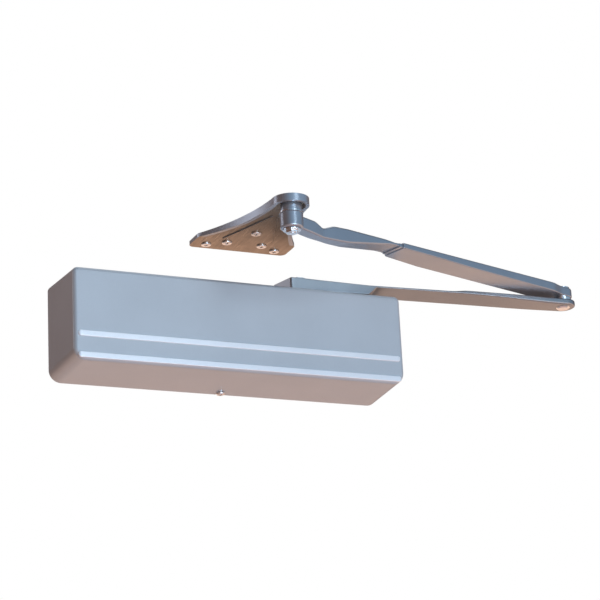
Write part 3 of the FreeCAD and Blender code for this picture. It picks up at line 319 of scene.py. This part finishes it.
def finish_piece(bm, name, place, body, material, replaced=(), bevel=0.0,
                 angle=SMOOTH_ANGLE):
    """Turn a bmesh into a finished piece on its body. place takes it to the shared frame."""
    mesh = bpy.data.meshes.new(name)
    bmesh.ops.transform(bm, matrix=place, verts=bm.verts)
    bm.to_mesh(mesh)
    bm.free()
    piece = bpy.data.objects.new(name + "_look", mesh)
    bpy.context.collection.objects.link(piece)
    mesh.materials.append(material)
    if bevel:
        edges = piece.modifiers.new("edges", "BEVEL")
        edges.width = bevel * MM
        edges.segments = EDGE_SEGMENTS
        edges.limit_method = "ANGLE"
        edges.angle_limit = math.radians(angle)
        edges.use_clamp_overlap = True
        edges.miter_outer = "MITER_ARC"
    apply_modifiers(piece)
    smooth(piece.data, angle)
    weighted = piece.modifiers.new("normals", "WEIGHTED_NORMAL")
    weighted.keep_sharp = True
    apply_modifiers(piece)
    if replaced:
        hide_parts(*replaced)
    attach(piece, body)
    return piece


def recoat(piece, material, chosen):
    """Give the faces for which chosen(centre, normal) holds a second material."""
    piece.data.materials.append(material)
    for polygon in piece.data.polygons:
        if chosen(polygon.center, polygon.normal):
            polygon.material_index = len(piece.data.materials) - 1


def smooth(mesh, angle):
    """Smooth shading, with a sharp line where two faces meet at more than angle."""
    for polygon in mesh.polygons:
        polygon.use_smooth = True
    mesh.set_sharp_from_angle(angle=math.radians(angle))


def apply_modifiers(piece):
    """Bake a piece's modifiers into its mesh."""
    bpy.context.view_layer.update()
    graph = bpy.context.evaluated_depsgraph_get()
    mesh = bpy.data.meshes.new_from_object(piece.evaluated_get(graph), depsgraph=graph)
    piece.modifiers.clear()
    old = piece.data
    piece.data = mesh
    mesh.name = old.name
    bpy.data.meshes.remove(old)


def combined(base, tool, operation):
    """base with tool cut from it or joined to it, as a new bmesh. Both are used up."""
    things = []
    for bm in (base, tool):
        mesh = bpy.data.meshes.new("part")
        bm.to_mesh(mesh)
        bm.free()
        thing = bpy.data.objects.new("part", mesh)
        bpy.context.collection.objects.link(thing)
        things.append(thing)
    change = things[0].modifiers.new("change", "BOOLEAN")
    change.operation = operation
    change.solver = "EXACT"
    change.object = things[1]
    apply_modifiers(things[0])
    result = bmesh.new()
    result.from_mesh(things[0].data)
    for thing in things:
        mesh = thing.data
        bpy.data.objects.remove(thing)
        bpy.data.meshes.remove(mesh)
    bmesh.ops.remove_doubles(result, verts=result.verts, dist=SAME_POINT_MM)
    return result


def extruded(outline, low, high):
    """An upright prism over a 2-D outline."""
    return lofted([[(x, y, low) for x, y in outline], [(x, y, high) for x, y in outline]])


def turned(profile, centre=(0.0, 0.0), steps=48):
    """A solid of revolution about an upright axis. The profile is (radius, height) pairs."""
    sections = []
    for radius, height in profile:
        sections.append([(centre[0] + radius * math.cos(math.tau * step / steps),
                          centre[1] + radius * math.sin(math.tau * step / steps), height)
                         for step in range(steps)])
    return lofted(sections)


def eased(value, low, high):
    """0 up to low, 1 from high on, and a smooth step between them."""
    share = max(0.0, min(1.0, (value - low) / (high - low)))
    return share * share * (3 - 2 * share)


def between(table, x):
    """Straight-line values from a table of (x, value, value, ...) rows."""
    for first, second in zip(table, table[1:]):
        if x <= second[0]:
            share = max(0.0, (x - first[0]) / (second[0] - first[0]))
            return [a + (b - a) * share for a, b in zip(first[1:], second[1:])]
    return list(table[-1][1:])


# ---------------------------------------------------------------- cover

COVER_LENGTH, COVER_HEIGHT, COVER_DEPTH = 318.0, 88.8, 66.0
COVER_DRAFT, COVER_WALL = 2.6, 2.2
LOW_ROUND, TOP_ROUND, FRONT_ROUND, LEAST_ROUND = 11.0, 5.0, 3.4, 0.8
RIM_CHAMFER = 0.35
OPENING_BACK = 6.0
ARM_SLOT_HALF, ARM_SLOT_LOW, ARM_SLOT_HIGH = 17.0, 30.0, 55.0
NOTCH_HALF, NOTCH_LOW, NOTCH_HIGH = 2.5, -55.0, -36.0
COVER_SMOOTH_ANGLE = 28.0


def cover_ring(depth, inset, push=0.0):
    """The cover's outline at a depth in front of the door, drawn in by inset and moved by push."""
    draft = COVER_DRAFT * depth / COVER_DEPTH
    x = COVER_LENGTH / 2 - draft - inset
    z = COVER_HEIGHT / 2 - draft - inset
    low = max(LOW_ROUND - inset, LEAST_ROUND)
    top = max(TOP_ROUND - inset, LEAST_ROUND)
    outline = rounded([(-x, -z, low), (x, -z, low), (x, z, top), (-x, z, top)], steps=9)
    return [(px, -depth - push, pz) for px, pz in outline]


def cover_edge(depth, inset, radius, steps):
    """Rings round the rounded edge of a front face that lies at depth."""
    angles = [math.radians(90.0 * step / steps) for step in range(steps + 1)]
    return [cover_ring(depth - radius * (1 - math.sin(angle)), inset + radius * (1 - math.cos(angle)))
            for angle in angles]


def opening(x, y, half, step):
    """The plan of an opening towards the door: a half circle about (x, y), and straight sides."""
    arc = [(x + half * math.cos(math.radians(angle)), y + half * math.sin(math.radians(angle)))
           for angle in range(0, -181, -step)]
    return [(x + half, OPENING_BACK), *arc, (x - half, OPENING_BACK)]


def make_cover():
    """A shell with a rounded front, a slot for the arm's spindle and a notch for the cover screw."""
    rim = RIM_CHAMFER
    outer = [cover_ring(rim, rim, -rim), cover_ring(rim, 0.0)]
    outer += [cover_ring(depth, 0.0) for depth in (12.0, 34.0, COVER_DEPTH - FRONT_ROUND - 0.8)]
    outer += cover_edge(COVER_DEPTH, 0.0, FRONT_ROUND, 8)
    inner = cover_edge(COVER_DEPTH - COVER_WALL, COVER_WALL, FRONT_ROUND - COVER_WALL, 3)[::-1]
    inner += [cover_ring(rim, COVER_WALL), cover_ring(rim, COVER_WALL - rim, -rim)]
    bm = lofted(inner + outer)
    slot = opening(spindle.x, spindle.y, ARM_SLOT_HALF, 6)
    bm = combined(bm, extruded(slot, ARM_SLOT_LOW, ARM_SLOT_HIGH), "DIFFERENCE")
    notch = opening(0.0, centre_of("cover_screw").y / MM, NOTCH_HALF, 15)
    bm = combined(bm, extruded(notch, NOTCH_LOW, NOTCH_HIGH), "DIFFERENCE")
    finish_piece(bm, "cover", ROW, "closer", COVER_PAINT, ["cover"],
                 angle=COVER_SMOOTH_ANGLE)


RIB_HEIGHTS = {"cover_rib_upper": -18.4, "cover_rib_lower": -37.6}
RIB_HALF, RIB_PROUD, RIB_SINK, RIB_ROUND = 2.7, 1.15, 0.5, 0.95
RIB_TIP_STATIONS = (0.0, 0.12, 0.4, 0.8, 1.3, 2.0, 2.9)
RIB_SMOOTH_ANGLE = 40.0


def make_cover_ribs():
    """Two raised bands with rounded edges and tips, sunk a little into the cover's front."""
    half_long = COVER_LENGTH / 2 - COVER_DRAFT - FRONT_ROUND
    places = [-half_long + tip for tip in RIB_TIP_STATIONS]
    places += [half_long - tip for tip in reversed(RIB_TIP_STATIONS)]
    for name, height in RIB_HEIGHTS.items():
        sections = []
        for x in places:
            reach = min(1.0, (half_long - abs(x)) / RIB_HALF)
            share = math.sqrt(max(0.02, 1 - (1 - reach) ** 2))
            half = RIB_HALF * share
            proud = RIB_PROUD * share
            edge = min(RIB_ROUND, half * 0.7, proud * 0.7)
            profile = rounded([(-half, RIB_SINK, 0.0), (-half, -proud, edge), (half, -proud, edge),
                               (half, RIB_SINK, 0.0)], steps=6)
            sections.append([(x, -COVER_DEPTH + y, height + z) for z, y in profile])
        # The bands take the much lighter paint: a painted highlight.
        finish_piece(lofted(sections), name, ROW, "closer", HIGHLIGHT_PAINT,
                     angle=RIB_SMOOTH_ANGLE)


# ---------------------------------------------------------------- main arm

# The hub's flat end leans by HUB_SLANT in plan, and the lean fades out along the bar.
HUB_SLANT, SLANT_FADE_START, SLANT_FADE_END = 4.4, -4.0, 24.0
HUB_END, HUB_TIP = 15.6, 1.4
ARM_HALF, ARM_END_RADIUS, ARM_END_TAPER, ARM_END_LIFT = 12.5, 11.5, 34.0, 1.3
ARM_EDGE_ROUND = 0.9
JOGGLE_START, JOGGLE_END, JOGGLE_LOW, JOGGLE_RISE = 147.0, 164.0, 55.6, 1.3
RECESS_RADIUS, RECESS_FLOOR, RECESS_TOP = 10.2, 55.6, 61.0
ARM_STATIONS = [
    # x, front low edge, back low edge, top
    (-30.0, 47.0, 47.0, 59.1), (-11.0, 47.0, 47.0, 59.1), (64.5, 47.0, 47.0, 55.9),
    (72.5, 54.4, 51.9, 55.8), (149.5, 53.8, 51.1, 55.6), (161.5, 53.8, 51.0, 56.9),
    (196.5, 52.8, 50.6, 56.6), (250.7, 50.0, 50.0, 55.8), (300.0, 50.0, 50.0, 55.8),
]


def arm_half_width(x):
    start = arm_length - ARM_END_TAPER
    if x <= start:
        return ARM_HALF
    if x <= arm_length:
        return ARM_HALF + (ARM_END_RADIUS - ARM_HALF) * (x - start) / ARM_END_TAPER
    return math.sqrt(max(0.0, ARM_END_RADIUS ** 2 - (x - arm_length) ** 2))


def round_end(centre, radius):
    """Places along a bar's half-round end, up to just short of its tip."""
    places = [centre + radius * math.sin(math.radians(angle)) for angle in range(10, 90, 10)]
    return [*places, centre + radius * 0.999]


def end_lift(x, centre, radius, most):
    """How far a bar's low and top faces draw together near its half-round end."""
    reach = max(0.0, x - centre) / radius
    return most * (1 - math.sqrt(max(0.0, 1 - reach ** 6)))


# The largest rounding of a bar's corners, as shares of its thickness and of its half width.
ROUND_TO_THICK, ROUND_TO_HALF, LEAST_BAR_ROUND = 0.42, 0.6, 0.05


def bar_section(x, half, front, back, top, low_round, top_round, skew=0.0, steps=4):
    """A rounded four-sided section of a bar. skew leans it in plan, front side forwards."""
    most = min((top - max(front, back)) * ROUND_TO_THICK, half * ROUND_TO_HALF)
    low_round = max(LEAST_BAR_ROUND, min(low_round, most))
    top_round = max(LEAST_BAR_ROUND, min(top_round, most))
    outline = rounded([(-half, front, low_round), (half, back, low_round),
                       (half, top, top_round), (-half, top, top_round)], steps=steps)
    return [(x - skew * y / ARM_HALF, y, z) for y, z in outline]


def make_main_arm():
    """The bent bar from the spindle to the elbow, with a joggle and a recess for its screw."""
    tip_end = -HUB_END + HUB_TIP
    places = [-HUB_END, -HUB_END + 0.25, -HUB_END + 0.7, tip_end, -10.0, 0.0, 15.0, 40.0]
    places += [60.0, 63.0, 64.5, 65.5, 67.0, 70.0, 71.5, 72.5, 74.0, 77.0, 110.0]
    places += [146.0, 149.5, 152.5, 155.5, 158.5, 161.5, 165.0, 180.0, 196.5, 215.0]
    places += [arm_length - ARM_END_TAPER, arm_length - 20, arm_length]
    places += round_end(arm_length, ARM_END_RADIUS)
    sections = []
    for x in places:
        front, back, top = between(ARM_STATIONS, x)
        if JOGGLE_START - 3 < x < JOGGLE_END + 4:
            top = JOGGLE_LOW + JOGGLE_RISE * eased(x, JOGGLE_START, JOGGLE_END)
        skew = HUB_SLANT * (1 - eased(x, SLANT_FADE_START, SLANT_FADE_END))
        half = arm_half_width(x)
        lift = end_lift(x, arm_length, ARM_END_RADIUS, ARM_END_LIFT)
        if x < tip_end:
            pull = (tip_end - x) / HUB_TIP
            lift = HUB_TIP * (1 - math.sqrt(max(0.0, 1 - pull ** 2)))
            half -= lift
        round_now = ARM_EDGE_ROUND + ARM_EDGE_ROUND * eased(x, arm_length - 60, arm_length - 10)
        sections.append(bar_section(x, half, front + lift, back + lift, top - lift * 0.6,
                                    round_now, round_now * 0.8, skew))
    recess = turned([(RECESS_RADIUS, RECESS_FLOOR), (RECESS_RADIUS, RECESS_TOP)])
    arm = combined(lofted(sections), recess, "DIFFERENCE")
    # The main arm takes the darker arm paint: painted shade.
    finish_piece(arm, "main_arm", ARM, "arm", MAIN_ARM_SHADED_PAINT, ["main_arm"])


# ---------------------------------------------------------------- forearm

SLEEVE_HALF, SLEEVE_TOP, SLEEVE_START = 12.75, 68.1, 121.0
EYE_RADIUS, EYE_LIFT = 9.3, 1.2
# The sleeve narrows to its eye between these two, measured back from the elbow's axis.
SHOULDER_START, SHOULDER_END = 26.0, 8.0
SLEEVE_LOW_ROUND, SLEEVE_TOP_ROUND = 0.9, 1.7
MOUTH_CHAMFER, MOUTH_CHAMFER_LENGTH = 0.3, 0.5
CAVITY_HALF, CAVITY_LOW, CAVITY_HIGH, CAVITY_ROUND, CAVITY_DEPTH = 11.3, 63.3, 67.0, 0.7, 114.0
TAP_OFFSETS, TAP_RADIUS, TAP_LOW, TAP_HIGH = (18.0, 42.0), 2.55, 66.0, 72.0
SLEEVE_STATIONS = [
    # x, front low edge, back low edge
    (121.0, 62.6, 62.3), (160.0, 62.1, 60.2), (205.0, 60.7, 60.0), (315.0, 59.2, 59.2),
    (360.0, 59.2, 59.2),
]


def sleeve_half_width(x):
    shoulder = forearm_length - SHOULDER_START
    if x <= shoulder:
        return SLEEVE_HALF
    if x <= forearm_length:
        share = eased(x, shoulder, forearm_length - SHOULDER_END)
        return SLEEVE_HALF + (EYE_RADIUS - SLEEVE_HALF) * share
    return math.sqrt(max(0.0, EYE_RADIUS ** 2 - (x - forearm_length) ** 2))


def make_forearm_sleeve():
    """The hollow outer half of the forearm, open where the rod slides in, with two screw holes."""
    start = SLEEVE_START
    chamfer_end = start + MOUTH_CHAMFER_LENGTH
    places = [start, start + 0.15, chamfer_end, 140.0, 160.0, 182.0, 205.0, 240.0, 280.0]
    places += [forearm_length - back for back in (26, 23, 20, 17, 14, 11, 8, 4, 0)]
    places += round_end(forearm_length, EYE_RADIUS)
    sections = []
    for x in places:
        front, back = between(SLEEVE_STATIONS, x)
        lift = end_lift(x, forearm_length, EYE_RADIUS, EYE_LIFT)
        if x < chamfer_end:
            lift = MOUTH_CHAMFER * (1 - (x - start) / MOUTH_CHAMFER_LENGTH)
        sections.append(bar_section(x, sleeve_half_width(x) - lift * 0.5, front + lift, back + lift,
                                    SLEEVE_TOP - lift, SLEEVE_LOW_ROUND, SLEEVE_TOP_ROUND,
                                    steps=5))
    corners = [(-CAVITY_HALF, CAVITY_LOW), (CAVITY_HALF, CAVITY_LOW),
               (CAVITY_HALF, CAVITY_HIGH), (-CAVITY_HALF, CAVITY_HIGH)]
    cavity = rounded([(*corner, CAVITY_ROUND) for corner in corners], steps=3)
    tool = lofted([[(x, y, z) for y, z in cavity] for x in (start - 4, start + CAVITY_DEPTH)])
    sleeve = combined(lofted(sections), tool, "DIFFERENCE")
    for offset in TAP_OFFSETS:
        tap = turned([(TAP_RADIUS, TAP_LOW), (TAP_RADIUS, TAP_HIGH)], (start + offset, 0.0), 24)
        sleeve = combined(sleeve, tap, "DIFFERENCE")
    piece = finish_piece(sleeve, "forearm_sleeve", FOREARM, "forearm", ARM_PAINT,
                         ["forearm_sleeve"])
    # The rim of the sleeve's mouth gets a painted highlight: the faces at its start that look out of it.
    mouth = FOREARM @ Vector((start + 0.7, 0.0, 65.0))
    along = Vector((math.cos(forearm_angle), math.sin(forearm_angle), 0.0))
    recoat(piece, HIGHLIGHT_PAINT, lambda centre, normal: (centre - mouth).dot(along) < 0
           and normal.dot(along) < -0.3)


ROD_HALF, ROD_LOW, ROD_HIGH, ROD_END, ROD_CHAMFER, ROD_ROUND = 11.0, 64.25, 66.75, 199.0, 0.35, 0.5
NECK_LOW_ROUND, NECK_TOP_ROUND, NECK_SPREAD = 1.6, 2.2, 1.6
FOREARM_HUB_RADIUS, FOREARM_HUB_LOW, FOREARM_HUB_HIGH = 10.2, 59.2, 73.4
FOREARM_HUB_ROUND, FOREARM_HUB_INNER, FOREARM_BORE_RADIUS = 2.2, 7.6, 7.55
# The hub's top edge: how far in from its radius, and how far down from its top.
FOREARM_HUB_EDGE = ((0.0, 1.1), (0.25, 0.4), (0.7, 0.0))
NECK_STATIONS = [
    # x, half width, low, high
    (5.0, 6.4, 59.2, 71.5), (8.6, 6.4, 59.2, 71.3), (23.0, 6.2, 57.4, 69.9),
    (32.5, 5.0, 56.4, 65.6), (44.0, 6.2, 56.4, 69.85), (60.0, 7.0, 57.0, 70.35),
    (103.0, 10.0, 63.25, 68.65), (112.8, 11.0, 64.25, 66.75), (200.0, 11.0, 64.25, 66.75),
]


def neck_values(x):
    """The neck's sizes at x, with its corners eased by averaging close by."""
    shifts = (-NECK_SPREAD, -NECK_SPREAD / 2, 0.0, NECK_SPREAD / 2, NECK_SPREAD)
    rows = [between(NECK_STATIONS, x + shift) for shift in shifts]
    return [sum(values) / len(values) for values in zip(*rows)]


def make_forearm_rod():
    """The forearm's other half: a hub on the bracket's pivot, a bent neck and a flat sliding bar."""
    places = [5.0, 7.0, 9.0, 12.0, 16.0, 20.0, 22.0, 24.0, 26.0, 28.0, 30.0, 31.5, 33.0, 34.5]
    places += [36.0, 38.0, 40.0, 42.0, 44.0, 46.0, 50.0, 55.0, 58.0, 61.0, 65.0, 75.0, 88.0]
    places += [98.0, 101.0, 103.5, 106.0, 109.0, 111.5, 113.5]
    sections = []
    for x in places:
        half, low, high = neck_values(x)
        if x < 8:
            # Inside the hub the neck stays clear of the hub's low face.
            low = FOREARM_HUB_LOW + 0.4
        sections.append(bar_section(x, half, low, low, high, NECK_LOW_ROUND, NECK_TOP_ROUND,
                                    steps=5))
    for x in (115.5, 150.0, ROD_END - 0.4, ROD_END):
        inset = ROD_CHAMFER if x == ROD_END else 0.0
        sections.append(bar_section(x, ROD_HALF - inset, ROD_LOW + inset, ROD_LOW + inset,
                                    ROD_HIGH - inset, ROD_ROUND, ROD_ROUND, steps=5))
    neck = lofted(sections)
    low, high, radius = FOREARM_HUB_LOW, FOREARM_HUB_HIGH, FOREARM_HUB_RADIUS
    edge = FOREARM_HUB_ROUND
    profile = [(FOREARM_HUB_INNER, low)]
    profile += [(radius - edge + edge * math.sin(math.radians(angle)),
                 low + edge - edge * math.cos(math.radians(angle))) for angle in range(0, 91, 15)]
    profile += [(radius - inwards, high - down) for inwards, down in FOREARM_HUB_EDGE]
    profile += [(FOREARM_HUB_INNER, high)]
    hub = combined(turned(profile, steps=64), neck, "UNION")
    bore = turned([(FOREARM_BORE_RADIUS, low - 3.0), (FOREARM_BORE_RADIUS, high + 3.0)])
    rod = combined(hub, bore, "DIFFERENCE")
    finish_piece(rod, "forearm_rod", FOREARM, "rod", ARM_PAINT, ["forearm_rod"])


# ---------------------------------------------------------------- CAD shapes with worked edges

BEVELS_MM = {
    "bracket_screws": 0.05, "cover_screw": 0.25, "body_screws": 0.3, "pivot_nut": 0.3,
    "elbow_pin": 0.3, "closer_body": 0.8, "upper_pinion_cap": 0.4, "left_end_cap": 0.5,
    "right_end_cap": 0.5, "arm_screw": 0.3, "bracket": 0.5,
}
WORKED_ANGLE = 30.0
# The bracket's underside, which gets a brown painted reflection: faces that look down, above this height in
# metres.
DOWNWARD, UNDERSIDE_HEIGHT = -0.7, 0.082


def worked(node):
    """A copy of a CAD node with merged flats and rounded edges, to stand for it."""
    bm = bmesh.new()
    bm.from_mesh(nodes[node].data)
    bmesh.ops.remove_doubles(bm, verts=bm.verts, dist=SAME_POINT_M)
    bmesh.ops.dissolve_limit(bm, angle_limit=math.radians(FLAT_ANGLE), verts=bm.verts,
                             edges=bm.edges, use_dissolve_boundaries=False)
    return finish_piece(bm, node, Matrix.Identity(4), BODY_OF[node],
                        MATERIALS[SLOT_OF[node]], [node], bevel=BEVELS_MM[node],
                        angle=WORKED_ANGLE)


def make_spring(node):
    """A copy of a closing spring that stands in for the hidden CAD node."""
    spring = bpy.data.objects.new(node + "_look", nodes[node].data.copy())
    bpy.context.collection.objects.link(spring)
    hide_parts(node)
    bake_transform(spring)


# ---------------------------------------------------------------- camera, floor and light

CAMERA_PLACE = (-0.7125, -1.7592, -0.5946)
CAMERA_RIGHT, CAMERA_FORWARD = (0.9161, -0.3982, -0.0479), (0.3919, 0.8632, 0.3182)
LENS_MM, SENSOR_MM, VIEW_DISTANCE = 131.1, 36.0, 20.0


def add_camera():
    """A long lens that looks up at the closer from its front left."""
    data = bpy.data.cameras.new("camera")
    data.lens = LENS_MM
    data.sensor_width = SENSOR_MM
    data.clip_end = VIEW_DISTANCE
    data.dof.use_dof = False
    right = Vector(CAMERA_RIGHT).normalized()
    forward = Vector(CAMERA_FORWARD).normalized()
    up = right.cross(forward)
    camera = bpy.data.objects.new("camera", data)
    rotation = Matrix((right, up, -forward)).transposed()
    camera.matrix_world = Matrix.Translation(CAMERA_PLACE) @ rotation.to_4x4()
    bpy.context.collection.objects.link(camera)
    bpy.context.scene.camera = camera


LIGHTS = [
    # name, place, aimed at, size, watts, colour
    ("key", (0.25, -2.8, -0.75), (0.05, -0.05, 0.0), (1.2, 1.2), 41, (0.48, 0.735, 0.98)),
    ("gloss", (0.55, -2.65, 0.9), (-0.12, -0.05, 0.0), (0.6, 0.6), 4, (0.74, 0.88, 1.0)),
    ("bounce", (0.0, -0.15, -0.8), (0.0, -0.1, 0.0), (1.7, 1.2), 1.7, (1.0, 0.36, 0.20)),
    ("side", (-1.7, 1.25, 0.75), (0.0, -0.1, 0.05), (0.8, 0.8), 3.2, (0.80, 0.86, 1.0)),
    ("top", (0.2, 0.1, 1.9), (0.05, -0.05, 0.0), (1.4, 1.4), 8, (0.92, 0.95, 1.0)),
    ("back", (0.3, 2.4, 0.7), (0.0, -0.05, 0.0), (1.2, 1.2), 6, (1.0, 0.90, 0.84)),
]


def add_area_light(name, place, target, size, power, colour):
    """A soft rectangular light that the camera doesn't see."""
    data = bpy.data.lights.new(name, "AREA")
    data.shape = "RECTANGLE"
    data.size, data.size_y = size
    data.energy = power
    data.color = colour
    light = bpy.data.objects.new(name, data)
    light.location = place
    light.visible_camera = False
    direction = Vector(target) - Vector(place)
    light.rotation_euler = direction.to_track_quat("-Z", "Y").to_euler()
    bpy.context.collection.objects.link(light)


# The room's colours by direction: behind first, then in front, below, at the left end and above.
WALL = (0.16, 0.10, 0.08)
ROOM = [
    # axis, where the colour starts, where it is full, colour
    ("Y", 0.35, -0.35, (0.22, 0.34, 0.47)),
    ("Z", 0.04, -0.30, (1.05, 0.72, 0.56)),
    ("X", -0.25, -0.95, (0.13, 0.066, 0.04)),
    ("Z", 0.45, 0.9, (0.08, 0.09, 0.11)),
]


def add_world():
    """A white background, and a room that is cool in front, warm below and dark above."""
    world = bpy.data.worlds.new("world")
    bpy.context.scene.world = world
    world.use_nodes = True
    tree = world.node_tree
    tree.nodes.clear()
    link = tree.links.new
    direction = tree.nodes.new("ShaderNodeTexCoord").outputs["Generated"]
    axes = tree.nodes.new("ShaderNodeSeparateXYZ")
    link(direction, axes.inputs[0])

    def share(axis, low, high):
        item = tree.nodes.new("ShaderNodeMapRange")
        item.interpolation_type = "SMOOTHSTEP"
        link(axes.outputs[axis], item.inputs["Value"])
        item.inputs["From Min"].default_value = low
        item.inputs["From Max"].default_value = high
        return item.outputs["Result"]

    def mix(factor, under, colour):
        item = tree.nodes.new("ShaderNodeMix")
        item.data_type = "RGBA"
        link(factor, item.inputs[0])
        link(under, item.inputs[MIX_FIRST])
        item.inputs[MIX_SECOND].default_value = (*colour, 1)
        return item.outputs[MIX_RESULT]

    start = tree.nodes.new("ShaderNodeRGB")
    start.outputs[0].default_value = (*WALL, 1)
    colour = start.outputs[0]
    for axis, low, high, tint in ROOM:
        colour = mix(share(axis, low, high), colour, tint)
    room = tree.nodes.new("ShaderNodeBackground")
    link(colour, room.inputs["Color"])
    white = tree.nodes.new("ShaderNodeBackground")
    white.inputs["Color"].default_value = (1, 1, 1, 1)
    rays = tree.nodes.new("ShaderNodeLightPath")
    choose = tree.nodes.new("ShaderNodeMixShader")
    link(rays.outputs["Is Camera Ray"], choose.inputs[0])
    link(room.outputs[0], choose.inputs[1])
    link(white.outputs[0], choose.inputs[2])
    output = tree.nodes.new("ShaderNodeOutputWorld")
    link(choose.outputs[0], output.inputs["Surface"])


FLOOR_HALF, FLOOR_PLACE = 1.1, (0.1, 0.0, -0.9)
FLOOR_DARK, FLOOR_LIGHT = (0.84, 0.80, 0.77), (0.86, 0.82, 0.79)


def add_floor():
    """A plain pale floor well below the closer, which hangs on a door."""
    bm = bmesh.new()
    bmesh.ops.create_grid(bm, x_segments=8, y_segments=8, size=FLOOR_HALF)
    mesh = bpy.data.meshes.new("floor")
    bm.to_mesh(mesh)
    bm.free()
    floor = bpy.data.objects.new("floor", mesh)
    floor.location = FLOOR_PLACE
    bpy.context.collection.objects.link(floor)
    shader = Shader("floor_plain", metallic=0.0, roughness=0.9)
    shader.link(shader.ramp(shader.noise(2.0), (NOISE_LOW, FLOOR_DARK), (NOISE_HIGH, FLOOR_LIGHT)),
                "Base Color")
    mesh.materials.append(shader.material)


# ---------------------------------------------------------------- put it together

for node, slot in SLOT_OF.items():
    data = nodes[node].data
    data.materials.clear()
    data.materials.append(MATERIALS[slot])

make_cover()
make_cover_ribs()
make_main_arm()
make_forearm_sleeve()
make_forearm_rod()
pieces = {node: worked(node) for node in BEVELS_MM}
# The bracket's downward faces take the brown painted reflection.
recoat(pieces["bracket"], BRACKET_REFLECTION,
       lambda centre, normal: normal.z < DOWNWARD and centre.z > UNDERSIDE_HEIGHT)
for node in ("outer_spring", "inner_spring"):
    make_spring(node)
add_camera()
add_world()
add_floor()
for light in LIGHTS:
    add_area_light(*light)
bpy.context.scene.view_settings.view_transform = "Standard"
